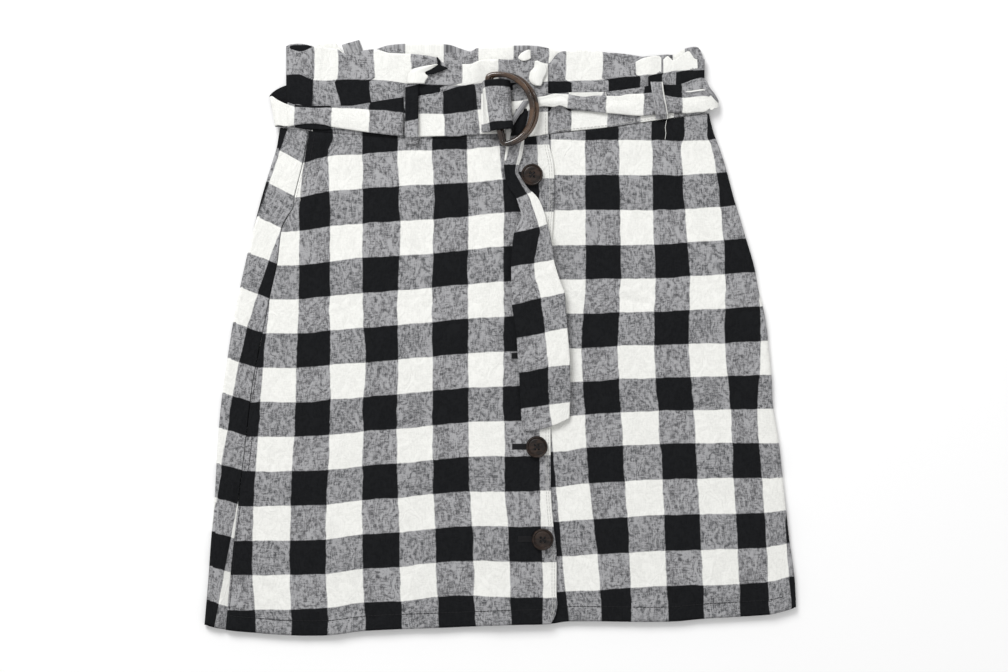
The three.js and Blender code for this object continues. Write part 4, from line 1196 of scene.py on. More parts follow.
# under the back, lying flat
grid = []
for j in range(12):
    x = mix(-167.7, 156.3, j / 11)
    slope = 3 * smooth(-160, 150, x)
    grid.append([(x, mix(205.5, 176.5, i / 4) + slope, 1.6, x / BAND, 1.45 + 0.9 * i / 4) for i in range(5)])
cloth("belt_back_cloth", ["belt_back"], refined(grid, 16, 150))

# line of the warp: x at the upper edge, x at the lower edge, number
OPEN_WARP = [(-80.0, -77.0, 3.0), (-48.0, -45.4, 4.0), (-20.8, -17.2, 5.0), (8.0, 11.0, 6.0)]


def open_warp(x, share):
    lines = [mix(line[0], line[1], share) for line in OPEN_WARP]
    return count(lines, 3, 1, x)


# open stretch: x, upper edge, middle line, lower edge
BELT_OPEN = [
    (-79.6, 195.6, 184.6, 166.0),
    (-72.0, 197.6, 184.4, 165.4),
    (-67.0, 198.8, 184.2, 165.0),
    (-49.0, 202.1, 184.2, 165.6),
    (-36.0, 206.0, 184.8, 165.4),
    (-27.0, 207.8, 186.0, 166.8),
    (-22.0, 208.6, 187.0, 168.0),
]
grid = []
for x, top, middle, low in BELT_OPEN:
    line = []
    for i in range(9):
        share = i / 8
        y = mix(top, middle, share * 2) if share < 0.5 else mix(middle, low, share * 2 - 1)
        line.append((x, y, BELT_LEVEL, open_warp(x, share), 1.28 + 1.44 * share))
    grid.append(line)
cloth(
    "belt_open_cloth",
    ["belt_open"],
    refined(grid, 34, 48, 0.7),
)

# the end, folded round the bars of the rings and stitched down: x, height, upper and lower edge
CARRIER_PATH = [
    (-26.2, 7.3, 207.4, 166.4),
    (-12.0, 7.3, 208.6, 167.4),
    (0.0, 7.7, 208.9, 167.6),
    (6.0, 8.7, 209.2, 167.8),
    (8.4, 10.8, 210.0, 168.4),
    (8.7, 14.5, 210.8, 169.6),
    (6.6, 18.2, 211.2, 170.8),
    (1.0, 20.2, 211.4, 170.4),
    (-6.0, 20.4, 211.0, 169.6),
    (-9.6, 19.9, 210.6, 168.8),
    (-11.6, 18.0, 209.8, 168.2),
    (-13.0, 14.4, 208.6, 168.4),
    (-13.6, 11.4, 207.4, 168.4),
    (-14.4, 9.4, 206.0, 168.6),
    (-15.6, 8.7, 205.4, 168.8),
]
# where warp lines cross the layer that comes back: distance along it, number
BACK_WARPS = [(0.0, 5.0), (38.0, 6.05), (60.6, 6.97), (61.6, 7.03), (76.0, 7.5)]
grid = []
along = 0.0
for k, (x, z, top, low) in enumerate(CARRIER_PATH):
    if k:
        along += math.hypot(x - CARRIER_PATH[k - 1][0], z - CARRIER_PATH[k - 1][1])
    line = []
    for i in range(9):
        share = i / 8
        lean = 5.0 * (share - 0.5) * smooth(8, 18, z)
        if k < 4:
            warp, weft = open_warp(x, share), 1.28 + 1.44 * share
        else:
            warp = read(BACK_WARPS, along)[0]
            weft = count((0.0, 0.14, 0.83, 1.0), -0.2, (0.0, 0.2, 1.2, 1.45), share)
        line.append((x + lean, mix(top, low, share), z, warp, weft))
    grid.append(line)
cloth(
    "belt_carrier_cloth",
    ["belt_carrier"],
    refined(grid, 30, 90, 0.3),
)

# right stretch, folded in half: x, upper edge, lower edge, top of the layer behind, weft at the
# upper edge, and by how many bands the layer behind is shifted
BELT_RIGHT = [
    (8.0, 193.8, 181.0, 203.0, 2.04, 0),
    (17.0, 194.4, 184.0, 205.6, 2.04, 0),
    (25.0, 196.0, 187.6, 203.0, 2.04, 0),
    (30.0, 197.2, 189.6, 201.0, 2.04, 0),
    (36.0, 198.0, 190.6, 200.4, 2.04, 0),
    (44.0, 200.0, 190.0, 200.6, 2.04, 0),
    (49.0, 199.8, 191.2, 200.8, 2.04, 0),
    (55.6, 199.6, 189.0, 201.4, 2.04, 0),
    (56.2, 199.6, 189.0, 201.5, 2.04, 1),
    (68.0, 197.6, 187.2, 201.6, 2.04, 1),
    (78.0, 198.6, 186.4, 201.8, 2.04, 1),
    (86.8, 198.4, 185.4, 202.0, 2.04, 1),
    (87.6, 198.4, 185.4, 202.2, 2.04, 0),
    (98.0, 198.2, 184.6, 203.4, 2.04, 0),
    (104.0, 199.6, 184.0, 204.2, 2.04, 0),
    (116.0, 200.2, 183.4, 206.0, 2.04, 0),
    (127.0, 201.4, 184.6, 208.0, 1.98, 0),
    (137.0, 202.0, 185.6, 208.0, 1.8, 0),
    (146.0, 201.6, 185.8, 208.0, 1.7, 0),
    (154.0, 202.2, 185.4, 210.4, 1.66, 0),
    (161.0, 203.0, 186.2, 212.8, 1.66, 0),
    (168.0, 203.6, 186.6, 213.2, 1.66, 0),
]
BELT_RIGHT_LINES = (-24.0, 4.0, 55.8, 86.8, 118.0, 149.6, 182.0)


def belt_lap(x):
    return band_step(x) * (1 - smooth(BAND_END + 10, BAND_END + 26, x)) - 0.8 * (1 - smooth(20, 34, x))


grid = []
for x, top, low, behind, edge_weft, hidden_row in BELT_RIGHT:
    warp = count(BELT_RIGHT_LINES, 0, 1, x)
    level = BELT_UPPER_LEVEL + belt_lap(x)
    wave = 0.5 * math.sin(x / 9)
    grid.append(
        [
            (x, behind, level - 1.3, warp + hidden_row, 1.3 + hidden_row),
            (x, mix(behind, top, 0.6), level - 1.3, warp + hidden_row, 1.6 + hidden_row),
            (x, top - 1.5, level - 1.2, warp + hidden_row, 1.7 + hidden_row),
            (x, top - 3.0, level - 0.8, warp, edge_weft - 0.1),
            # past x 146 the top edge's weft is pulled into the light row: a thin painted highlight along the
            # fold
            (x, top, level - 0.1, warp, edge_weft - 0.8 * smooth(145, 151, x)),
            (x, mix(top, low, 0.3), level + 0.2 + wave, warp, mix(edge_weft, 2.8, 0.3)),
            (x, mix(top, low, 0.65), level + 0.3 - wave * 0.5, warp, mix(edge_weft, 2.8, 0.65)),
            (x, low + 0.8, level, warp, 2.74),
            (x, low, level - 0.8, warp, 2.8),
            (x, mix(top, low, 0.25), level - 1.5, warp, 3.3),
        ]
    )
# and round the right side: x, level, top edge, lower edge, warp, weft at the top edge
TURN_RIGHT = [
    (172.6, 8.4, 205.4, 187.4, 5.72, 1.52),
    (176.4, 7.6, 200.4, 188.6, 5.84, 1.45),
    (179.2, 5.8, 196.0, 189.4, 5.93, 1.4),
    (179.6, 4.0, 194.4, 190.2, 6.02, 1.5),
    (178.0, 2.4, 197.0, 190.4, 6.1, 1.4),
    (174.0, 1.6, 201.0, 189.4, 6.25, 1.3),
    (165.0, 1.5, 206.0, 187.0, 6.55, 1.3),
    (157.0, 1.5, 206.0, 183.6, 6.8, 1.3),
]
for x, z, top, low, warp, weft in TURN_RIGHT:
    line = []
    for share in (0.0, 0.12, 0.24, 0.3, 0.36, 0.52, 0.7, 0.86, 0.95, 1.0):
        line.append((x, mix(top, low, share), z, warp, mix(weft, 2.8, share)))
    grid.append(line)
right_nodes = ["belt_right", "belt_turn_right"]
cloth(
    "belt_right_cloth",
    right_nodes,
    refined(grid, 40, 110, 0.6),
)

# hanging end: height, left edge, warp line between dark and light, right edge, level
BELT_TAIL = [
    (188.0, 13.0, 23.4, 24.4, 9.0),
    (178.0, 9.4, 22.0, 23.4, 9.1),
    (170.0, 7.4, 19.4, 21.0, 9.2),
    (163.0, 6.0, 17.8, 19.6, 9.4),
    (155.9, 4.8, 16.2, 18.8, 9.5),
    (148.0, 3.2, 14.8, 17.4, 9.3),
    (141.0, 2.8, 13.0, 15.0, 9.0),
    (135.0, 3.4, 12.3, 15.0, 9.0),
    (128.0, 4.6, 15.6, 19.0, 9.0),
    (122.0, 7.6, 19.2, 23.0, 9.2),
    (118.6, 10.2, 21.6, 27.0, 9.4),
    (114.0, 13.2, 24.2, 31.0, 9.7),
    (109.0, 14.8, 25.6, 33.6, 10.0),
    (103.0, 16.8, 28.0, 35.8, 10.5),
    (98.5, 17.2, 29.4, 37.0, 10.8),
    (94.0, 15.4, 31.0, 38.0, 11.0),
    (86.6, 11.6, 32.6, 40.2, 11.6),
    (80.0, 10.4, 31.2, 41.6, 12.0),
    (70.0, 9.3, 29.2, 43.2, 12.2),
    (62.0, 8.9, 27.0, 44.2, 12.2),
    (49.0, 8.9, 29.0, 48.0, 12.1),
    (36.0, 8.8, 32.0, 52.8, 12.0),
    (24.0, 9.6, 33.8, 53.8, 11.8),
    (5.0, 12.8, 36.9, 55.2, 12.0),
    (-16.0, 14.2, 38.8, 56.9, 12.2),
    (-29.0, 15.3, 39.6, 57.3, 11.6),
    (-48.0, 16.2, 40.0, 57.7, 9.8),
    (-62.0, 17.0, 40.8, 57.0, 9.0),
    (-69.0, 17.8, 41.6, 57.0, 8.7),
    (-74.0, 18.8, 42.2, 56.4, 8.6),
]
# weft lines of the hanging end: height at its left edge, and at its right edge
TAIL_WEFT_LEFT = (192.0, 165.0, 141.9, 113.8, 85.8, 57.8, 26.4, -0.8, -28.9, -59.4, -88.0)
TAIL_WEFT_RIGHT = (192.0, 165.6, 141.9, 119.6, 92.8, 63.5, 36.3, 7.4, -22.3, -53.6, -82.0)
TAIL_NUMBERS = (-1.0, 0.0, 1.0, 2.0, 3.0, 4.0, 5.0, 6.0, 7.0, 8.0, 9.0)

grid = []
for y, left, middle, right, level in BELT_TAIL:
    line = []
    for i in range(9):
        share = i / 8
        x = mix(left, right, share)
        end = max(0.0, min(1.0, (-48 - y) / 26))
        yy = y + end * mix(-3.5, 7.0, share**2)
        weft_left = count(TAIL_WEFT_LEFT, 0, TAIL_NUMBERS, yy)
        weft_right = count(TAIL_WEFT_RIGHT, 0, TAIL_NUMBERS, yy)
        warp = count((left, middle, right), 0.25, (0.0, 0.75, 1.4), x)
        crown = 0.7 * math.sin(math.pi * share)
        pleat = 0.6 * math.cos(share * 9.0) * smooth(100, 150, y)
        line.append((x, yy, level + crown + pleat, warp, mix(weft_left, weft_right, share)))
    grid.append(line)
cloth(
    "belt_tail_cloth",
    ["belt_tail"],
    refined(grid, 40, 150, 0.8),
)

# the edge of the hanging end, turned over where it leaves the rings: height, left, right, warp
TAIL_EDGE = [
    (194.6, 19.0, 24.4, 0.5),
    (190.0, 15.6, 21.0, 0.5),
    (184.0, 11.6, 16.8, 0.5),
    (178.0, 7.8, 12.8, 0.5),
    (172.6, 5.2, 9.8, 0.5),
    (168.6, 4.4, 8.6, 1.5),
    (164.0, 4.2, 7.8, 1.6),
    (158.0, 4.4, 7.0, 1.6),
    (152.0, 4.0, 6.0, 1.6),
    (145.0, 3.2, 4.6, 1.6),
]
grid = []
for y, left, right, warp in TAIL_EDGE:
    level = mix(10.4, 11.4, smooth(168, 184, y))
    line = []
    for i in range(4):
        crown = 0.3 if i in (1, 2) else 0.0
        line.append((mix(left, right, i / 3), y, level + crown, warp + 0.1 * i, 0.5))
    grid.append(line)
cloth(
    "belt_tail_edge",
    [],
    refined(grid, 8, 70),
    wall=0.5,
)

# ---- Belt loops ------------------------------------------------------------------------
# Narrow strips of the cloth, turned and stitched, two in front and two behind. The upper end of
# the left one behind was left long and stands above the frill.


LOOP_WALL = 0.8


def loop_piece(name, node, path, middle, half_width, lean, warp, warp_width, weft_line):
    """A strip along a path of (y, z): its middle's x, and how far it leans to one side above."""
    grid = []
    low, high = path[0][0], path[-1][0]
    for y, z in path:
        line = []
        for i in range(4):
            share = i / 3
            x = middle + mix(-half_width, half_width, share) + lean * smooth(low, high, y)
            line.append((x, y, z, warp + warp_width * share, weft_line(y, share)))
        grid.append(line)
    grid.reverse()
    cloth(name, [node], refined(grid, 8, 44), wall=LOOP_WALL)


def over_belt(ends, belt, end_level, over_level):
    """The path of a loop that is sewn down at both ends and steps over the belt between them."""
    low, high = ends
    belt_low, belt_high = belt
    return [
        (low, mix(end_level, over_level, 0.2)),
        (mix(low, belt_low, 0.5), mix(end_level, over_level, 0.45)),
        (belt_low, mix(end_level, over_level, 0.85)),
        (belt_low + 0.8, over_level),
        (mix(belt_low, belt_high, 0.35), over_level),
        (mix(belt_low, belt_high, 0.65), over_level),
        (belt_high - 0.8, over_level),
        (belt_high + 0.6, mix(end_level, over_level, 0.55)),
        (mix(high, belt_high, 0.4), end_level),
        (high, end_level),
    ]


loop_piece(
    "loop_front_left",
    "belt_loop_front_left",
    over_belt((159.0, 208.8), (164.6, 199.4), 7.3, 10.3),
    middle=-73.0,
    half_width=5.4,
    lean=0.0,
    warp=0.3,
    warp_width=0.3,
    weft_line=lambda y, share: 1.0 + (y - 177.4 - 2.6 * share) / BAND,
)
loop_piece(
    "loop_front_right",
    "belt_loop_front_right",
    over_belt((179.6, 210.4), (183.2, 208.4), 7.5, 10.6),
    middle=132.9,
    half_width=5.0,
    lean=-4.2,
    warp=0.26,
    warp_width=0.82,
    weft_line=lambda y, share: 2.2 + (y - 180) / BAND * 0.5,
)
loop_piece(
    "loop_back_right",
    "belt_loop_back_right",
    over_belt((175.4, 213.5), (178.2, 208.6), 2.0, 0.5),
    middle=92.0,
    half_width=5.5,
    lean=0.0,
    warp=1.2,
    warp_width=0.3,
    weft_line=lambda y, share: y / BAND,
)

# the long one behind, cut off aslant: height, x, level
TAB = [
    (171.0, -112.0, 2.0), (172.6, -112.0, 1.7), (175.4, -112.0, 0.5), (192.0, -113.5, 0.5),
    (206.0, -116.0, 0.5), (214.0, -117.6, 0.7), (226.0, -119.4, 0.9), (235.0, -121.2, 1.2),
    (243.6, -124.0, 1.4),
]  # fmt: skip
grid = []
for y, x, z in TAB:
    slant = smooth(214, 236, y)
    line = []
    for i in range(4):
        side = mix(-7.2, 7.2, i / 3)
        weft = 0.2 + 0.5 * smooth(200, 243, y)
        line.append((x + side, y + side * 0.28 * slant, z, 0.25 + 0.5 * i / 3, weft))
    grid.append(line)
grid.reverse()
cloth(
    "loop_back_left",
    ["belt_loop_back_left"],
    refined(grid, 10, 40),
    wall=LOOP_WALL,
)

# ---- D-rings ---------------------------------------------------------------------------
# Two D-rings moulded in tortoiseshell resin and tumbled smooth. Their straight bars lie in the
# stitched end of the belt, and the bows lie over each other on the front.

RING_ROD = 2.1  # half the rod's thickness
# middle of the straight bar, its level, the level of the bow's tip, the turn in degrees, and how far
# the bow reaches as seen from above
RINGS = {
    "d_ring_lower": (-2.6, 186.2, 12.4, 13.8, 12, 32.6),
    "d_ring_upper": (-4.8, 186.0, 17.2, 19.8, 13, 30.8),
}
RING_HALF = 29.0  # half the bar's length
SHOULDER = 8  # how far the bow runs straight out from the bar's ends
# points on half the bar and on the bow, and steps along and round the rod
BAR_STEPS = 30
BOW_STEPS = 120
ROD_STEPS = 160
ROD_SIDES = 16
WORN_STEPS = 4  # steps over which a corner is worn round

# Tortoiseshell resin: honey brown with darker clouds that run into each other, glossy.
resin, tree = new_material("tortoiseshell_resin")
coordinates = add(tree, "ShaderNodeTexCoord").outputs["Object"]
clouds = add(
    tree,
    "ShaderNodeTexNoise",
    {"Vector": coordinates, "Scale": 60.0, "Detail": 2.0, "Distortion": 0.8},
)
ramp = add(tree, "ShaderNodeValToRGB", {0: clouds.outputs[0]})
ramp.color_ramp.elements[0].position = 0.36
ramp.color_ramp.elements[0].color = colour("#241a14")
ramp.color_ramp.elements[1].position = 0.66
ramp.color_ramp.elements[1].color = colour("#634a36")
middle_stop = ramp.color_ramp.elements.new(0.5)
middle_stop.color = colour("#3e2c20")
shader = add(
    tree,
    "ShaderNodeBsdfPrincipled",
    {
        "Base Color": ramp.outputs[0],
        "Roughness": 0.16,
        "IOR": 1.55,
        "Coat Weight": 0.5,
        "Coat Roughness": 0.05,
        "Transmission Weight": 0.3,
    },
)
finish_material(tree, shader)


def ring_points(ring):
    """Centre line of a ring: a straight bar and a deep bow, with corners worn round."""
    x0, y0, level, tip, turn, depth = RINGS[ring]
    outline = [(0.0, RING_HALF * k / BAR_STEPS) for k in range(-BAR_STEPS, BAR_STEPS + 1)]
    for k in range(1, BOW_STEPS):
        angle = math.pi / 2 - math.pi * k / BOW_STEPS
        away = SHOULDER * math.cos(angle) ** 0.4 + (depth - SHOULDER) * math.cos(angle)
        outline.append((away, RING_HALF * math.sin(angle)))
    steps = [0.0]
    for a, b in zip(outline, outline[1:] + outline[:1]):
        steps.append(steps[-1] + math.dist(a, b))
    closed = outline + outline[:1]
    even = []
    k = 0
    for n in range(ROD_STEPS):
        reach = steps[-1] * n / ROD_STEPS
        while steps[k + 1] < reach:
            k += 1
        share = (reach - steps[k]) / (steps[k + 1] - steps[k])
        here, there = closed[k], closed[k + 1]
        even.append((mix(here[0], there[0], share), mix(here[1], there[1], share)))
    turned = math.radians(turn)
    found = []
    for n in range(ROD_STEPS):
        near = [even[(n + m) % ROD_STEPS] for m in range(-WORN_STEPS, WORN_STEPS + 1)]
        away = sum(spot[0] for spot in near) / len(near)
        side = sum(spot[1] for spot in near) / len(near)
        x = x0 + away * math.cos(turned) - side * math.sin(turned)
        y = y0 + away * math.sin(turned) + side * math.cos(turned)
        found.append(Vector((x, y, mix(level, tip, away / depth))))
    return found


for ring in RINGS:
    path = ring_points(ring)
    mesh_spots = []
    for k, spot in enumerate(path):
        ahead = (path[(k + 1) % ROD_STEPS] - path[k - 1]).normalized()
        side = ahead.cross(Vector((0, 0, 1))).normalized()
        up = side.cross(ahead)
        for s in range(ROD_SIDES):
            angle = math.tau * s / ROD_SIDES
            spot_out = spot + RING_ROD * (side * math.cos(angle) + up * math.sin(angle))
            mesh_spots.append(place(*spot_out))
    faces = []
    for k in range(ROD_STEPS):
        for s in range(ROD_SIDES):
            here = k * ROD_SIDES
            there = (k + 1) % ROD_STEPS * ROD_SIDES
            beside = (s + 1) % ROD_SIDES
            faces.append((here + s, here + beside, there + beside, there + s))
    mesh = bpy.data.meshes.new(ring + "_rod")
    mesh.from_pydata(mesh_spots, [], faces)
    sewn = bmesh.new()
    sewn.from_mesh(mesh)
    bmesh.ops.recalc_face_normals(sewn, faces=sewn.faces)
    sewn.to_mesh(mesh)
    sewn.free()
    mesh.shade_smooth()
    mesh.materials.append(resin)
    rod = new_object(ring + "_rod", mesh)
    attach(rod, "root")
    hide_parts(ring)

# ---- Buttons ---------------------------------------------------------------------------
# Five four-hole buttons, 18 mm, turned from horn-coloured resin with a raised rim and a dished
# middle, and sewn on through their holes with black thread.

BUTTON_RADIUS = 9.0
BUTTON_THICK = 3.4
HOLE_RADIUS = 1.05
HOLE_OFFSET = 2.2
BUTTONS = [(26.0, 133.7), (27.6, 57.8), (29.3, -15.7), (29.9, -90.6), (34.8, -166.8)]
# share of the radius, share of the thickness
BUTTON_PROFILE = [
    (0.0, 0.0), (0.72, 0.0), (0.93, 0.14), (1.0, 0.42), (0.99, 0.68), (0.95, 0.9), (0.9, 1.0),
    (0.85, 0.96), (0.8, 0.78), (0.76, 0.7), (0.71, 0.75), (0.66, 0.79), (0.6, 0.8), (0.5, 0.76), (0.0, 0.73),
]  # fmt: skip

# Horn-coloured resin: dark brown with soft lighter streaks, polished but dulled by washing.
horn, tree = new_material("horn_resin")
coordinates = add(tree, "ShaderNodeTexCoord").outputs["Object"]
stretched = add(tree, "ShaderNodeVectorMath", {0: coordinates, 1: (1.0, 2.6, 1.0)}, operation="MULTIPLY")
clouds = add(
    tree,
    "ShaderNodeTexNoise",
    {"Vector": stretched.outputs[0], "Scale": 150.0, "Detail": 3.0, "Distortion": 0.8},
)
ramp = add(tree, "ShaderNodeValToRGB", {0: clouds.outputs[0]})
ramp.color_ramp.elements[0].position = 0.38
ramp.color_ramp.elements[0].color = colour("#150f0c")
ramp.color_ramp.elements[1].position = 0.68
ramp.color_ramp.elements[1].color = colour("#33261f")
shader = add(
    tree,
    "ShaderNodeBsdfPrincipled",
    {
        "Base Color": ramp.outputs[0],
        "Roughness": 0.4,
        "Specular IOR Level": 0.28,
        "Coat Weight": 0.05,
        "Coat Roughness": 0.3,
    },
)
finish_material(tree, shader)


def lathe(profile, steps):
    """Turns a profile of (radius, height), both in millimetres, into a closed solid at the origin."""
    spots, faces = [], []
    for radius, height in profile:
        if radius == 0:
            spots.append((0.0, 0.0, height))
            continue
        for s in range(steps):
            angle = math.tau * s / steps
            spots.append((radius * math.cos(angle), radius * math.sin(angle), height))
    for s in range(steps):
        faces.append((0, 1 + (s + 1) % steps, 1 + s))
    rings = len(profile) - 2
    for r in range(rings - 1):
        for s in range(steps):
            a, b = 1 + r * steps + s, 1 + r * steps + (s + 1) % steps
            faces.append((a, b, b + steps, a + steps))
    last = len(spots) - 1
    for s in range(steps):
        faces.append((last, last - steps + s, last - steps + (s + 1) % steps))
    return spots, faces


BUTTON_SIDES = 56
HOLE_SIDES = 14
DRILL_LOW = -1.0
DRILL_HIGH = 5.0
button_profile = [(r * BUTTON_RADIUS, h * BUTTON_THICK) for r, h in BUTTON_PROFILE]
button_spots, button_faces = lathe(button_profile, BUTTON_SIDES)
drill_profile = [(0.0, DRILL_LOW), (HOLE_RADIUS, DRILL_LOW), (HOLE_RADIUS, DRILL_HIGH), (0.0, DRILL_HIGH)]
drill_spots, drill_faces = lathe(drill_profile, HOLE_SIDES)
for number, (x, y) in enumerate(BUTTONS, start=1):
    low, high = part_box(f"button_{number}")
    under = low[2] * 1000
    body = bpy.data.meshes.new(f"button_{number}_body")
    body.from_pydata([place(x + p, y + q, under + r) for p, q, r in button_spots], [], button_faces)
    drill_all, drill_polys = [], []
    for quarter in (45, 135, 225, 315):
        angle = math.radians(quarter)
        start = len(drill_all)
        cx, cy = x + HOLE_OFFSET * math.cos(angle), y + HOLE_OFFSET * math.sin(angle)
        drill_all += [place(cx + p, cy + q, under + r) for p, q, r in drill_spots]
        drill_polys += [tuple(start + k for k in face) for face in drill_faces]
    drills = bpy.data.meshes.new("drills")
    drills.from_pydata(drill_all, [], drill_polys)
    drill = new_object("drill", drills)
    blank = new_object("blank", body)
    cut = blank.modifiers.new("holes", "BOOLEAN")
    cut.operation = "DIFFERENCE"
    cut.object = drill
    cut.solver = "EXACT"
    mesh = bpy.data.meshes.new_from_object(blank.evaluated_get(bpy.context.evaluated_depsgraph_get()))
    bpy.data.objects.remove(blank)
    bpy.data.objects.remove(drill)
    mesh.shade_smooth()
    mesh.set_sharp_from_angle(angle=math.radians(35))
    mesh.materials.clear()
    mesh.materials.append(horn)
    button = new_object(f"button_{number}_face", mesh)
    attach(button, "root")
    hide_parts(f"button_{number}")

# ---- Stitching -------------------------------------------------------------------------
# Spun sewing thread: black lockstitch along the hem, the pocket's mouth and the vent, light grey
# rows on the pocket, the button stand and the waistband, black satin stitch round the buttonholes,
# a bar under the left loop, a cross through each button, and one white end left loose.

# Spun polyester thread, dyed black, light grey or left white: matt, with a faint shine.
def thread(name, code):
    made, tree = new_material(name)
    shader = add(
        tree,
        "ShaderNodeBsdfPrincipled",
        {"Base Color": colour(code), "Roughness": 0.7, "Specular IOR Level": 0.2},
    )
    finish_material(tree, shader)
    return made


black_thread = thread("black_sewing_thread", "#1c1c1e")
grey_thread = thread("grey_sewing_thread", "#b8b8b4")

stitcher = bpy.data.node_groups.new("row_of_stitches", "GeometryNodeTree")
sockets = {}
for name, kind in (
    ("Geometry", "NodeSocketGeometry"),
    ("Spacing", "NodeSocketFloat"),
    ("Stitch length", "NodeSocketFloat"),
    ("Thread radius", "NodeSocketFloat"),
    ("Across", "NodeSocketFloat"),
    ("Thread", "NodeSocketMaterial"),
):
    sockets[name] = stitcher.interface.new_socket(name, in_out="INPUT", socket_type=kind).identifier
stitcher.interface.new_socket("Geometry", in_out="OUTPUT", socket_type="NodeSocketGeometry")
given = add(stitcher, "NodeGroupInput").outputs
run = add(stitcher, "GeometryNodeMeshToCurve", {"Mesh": given["Geometry"]})
marks = add(
    stitcher,
    "GeometryNodeCurveToPoints",
    {"Curve": run.outputs[0], "Length": given["Spacing"]},
    mode="LENGTH",
)
sideways = add(
    stitcher,
    "ShaderNodeVectorMath",
    {0: marks.outputs["Tangent"], 1: (0.0, 0.0, 1.0)},
    operation="CROSS_PRODUCT",
)
way = add(
    stitcher,
    "ShaderNodeMix",
    {0: given["Across"], 4: marks.outputs["Tangent"], 5: sideways.outputs[0]},
    data_type="VECTOR",
)
aimed = add(stitcher, "FunctionNodeAlignRotationToVector", {"Vector": way.outputs[1]}, axis="Z")
stitch = add(
    stitcher,
    "GeometryNodeMeshCylinder",
    {"Vertices": 6, "Radius": given["Thread radius"], "Depth": given["Stitch length"]},
)
sewn = add(
    stitcher,
    "GeometryNodeInstanceOnPoints",
    {"Points": marks.outputs["Points"], "Instance": stitch.outputs["Mesh"], "Rotation": aimed.outputs[0]},
)
whole = add(stitcher, "GeometryNodeRealizeInstances", {"Geometry": sewn.outputs[0]})
dyed = add(stitcher, "GeometryNodeSetMaterial", {"Geometry": whole.outputs[0], "Material": given["Thread"]})
add(stitcher, "NodeGroupOutput", {"Geometry": dyed.outputs[0]})


def stitches(name, rows, spacing, length, radius, yarn, across=0.0):
    """Sews rows of points, in millimetres, with stitches of the given size in millimetres."""
    spots, edges = [], []
    for row in rows:
        start = len(spots)
        spots += [place(*spot) for spot in row]
        edges += [(k, k + 1) for k in range(start, len(spots) - 1)]
    lines = bpy.data.meshes.new("sewing_lines")
    lines.from_pydata(spots, edges, [])
    marked = new_object("sewing_lines", lines)
    sewing = marked.modifiers.new("sewing", "NODES")
    sewing.node_group = stitcher
    sewing[sockets["Spacing"]] = spacing / 1000
    sewing[sockets["Stitch length"]] = length / 1000
    sewing[sockets["Thread radius"]] = radius / 1000
    sewing[sockets["Across"]] = across
    sewing[sockets["Thread"]] = yarn
    mesh = bpy.data.meshes.new_from_object(marked.evaluated_get(bpy.context.evaluated_depsgraph_get()))
    bpy.data.objects.remove(marked)
    mesh.name = name
    made = new_object(name, mesh)
    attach(made, "root")


def laid_on(level, points, lift=0.42, step=2.5):
    """A line of stitching on a surface: level gives its height, points are x and y."""
    row = []
    for (x0, y0), (x1, y1) in zip(points, points[1:]):
        parts = max(1, round(math.hypot(x1 - x0, y1 - y0) / step))
        for k in range(parts):
            x, y = mix(x0, x1, k / parts), mix(y0, y1, k / parts)
            row.append((x, y, level(x, y) + lift))
    x, y = points[-1]
    row.append((x, y, level(x, y) + lift))
    return row


def hem_line(start, end):
    return [(x, read(HEM, x)[0] + HEM_DEPTH) for x in range(start, end, 6)]


def edge_line(edge, offset, high, low, step=-6):
    return [(edge(y) + offset, y) for y in range(high, low, step)]


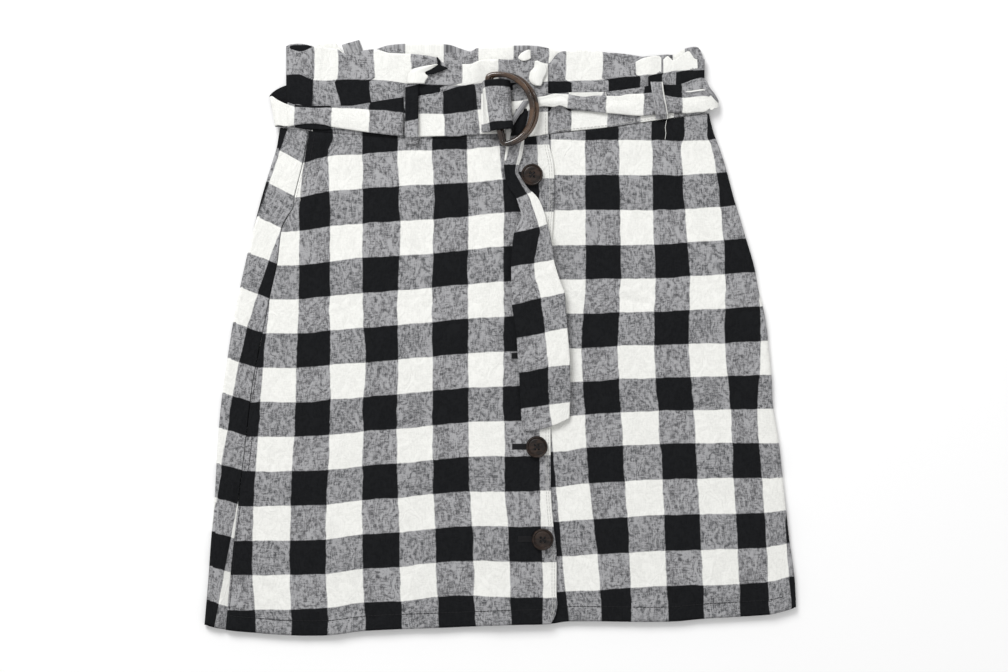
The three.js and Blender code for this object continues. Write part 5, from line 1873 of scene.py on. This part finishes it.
lock_rows = [
    laid_on(left_level, hem_line(-222, 42), 0.72),
    laid_on(right_level, hem_line(52, 238), 0.72),
    laid_on(left_level, edge_line(side_seam, 1.4, -26, -54)),
    laid_on(left_level, edge_line(side_seam, 4.9, -84, -110)),
    laid_on(left_level, edge_line(side_seam, 1.6, 166, 143)),
    laid_on(left_level, edge_line(side_seam, 1.6, -139, -240)),
    laid_on(left_level, edge_line(side_seam, 5.2, 166, 143)),
]
stitches("lockstitch", lock_rows, 2.9, 2.4, 0.26, black_thread)
top_rows = [
    laid_on(left_level, edge_line(side_seam, 1.4, 143, 112)),
    laid_on(left_level, edge_line(side_seam, 4.9, 143, 112)),
    laid_on(left_level, edge_line(stand_edge, -2.0, 160, -234)),
    laid_on(left_level, edge_line(stand_edge, -3.9, 160, -234)),
]
stitches("topstitch", top_rows, 2.9, 2.1, 0.2, grey_thread)


def left_band_level(x, y):
    return BAND_LEVEL + band_step(x) + 0.1


band_rows = [
    laid_on(lambda x, y: BAND_LEVEL + 0.1, [(x, waist(x) + 2.0) for x in range(46, 164, 6)], 0.62),
    laid_on(left_band_level, [(37.2, y) for y in range(204, 164, -4)], 0.62),
]
stitches("waistband_stitches", band_rows, 2.9, 2.1, 0.2, grey_thread)
bar_rows = [[(-78.3, y, 7.9), (-67.9, y, 7.9)] for y in (159.6, 160.3)]
stitches("loop_bar", bar_rows, 0.7, 1.2, 0.3, black_thread)

# an end left uncut by the right loop: x, y
LOOSE_THREAD = [(136.9, 178.4), (135.9, 173.0), (136.4, 168.0), (135.8, 163.6)]
loose = laid_on(lambda x, y: front_level(x, y) + 0.9, LOOSE_THREAD, 0.4)
stitches("loose_thread", [loose], 1.1, 1.3, 0.2, thread("white_sewing_thread", "#e2e2de"))

HOLE_END = -20  # where a buttonhole starts, from the button's middle
HOLE_LENGTH = 12
HOLE_SIDE = 1.15  # from the slit to the middle of its stitches
hole_rows = []
for x, y in BUTTONS:
    for side in (-HOLE_SIDE, HOLE_SIDE):
        level = stand_level(x, y) + 0.5
        hole_rows.append([(x + HOLE_END + k, y + side + 0.2, level) for k in range(HOLE_LENGTH + 1)])
stitches("buttonhole_satin", hole_rows, 0.5, 2.4, 0.3, black_thread, across=1.0)

cross_rows = []
for number, (x, y) in enumerate(BUTTONS, start=1):
    low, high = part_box(f"button_{number}")
    level = low[2] * 1000 + 0.73 * BUTTON_THICK + 0.15
    reach = HOLE_OFFSET * math.sqrt(0.5) + 0.3
    for sx, sy in ((1, 1), (1, -1)):
        cross_rows.append([(x - sx * reach, y - sy * reach, level), (x + sx * reach, y + sy * reach, level)])
stitches("button_thread", cross_rows, 0.55, 0.6, 0.42, black_thread)
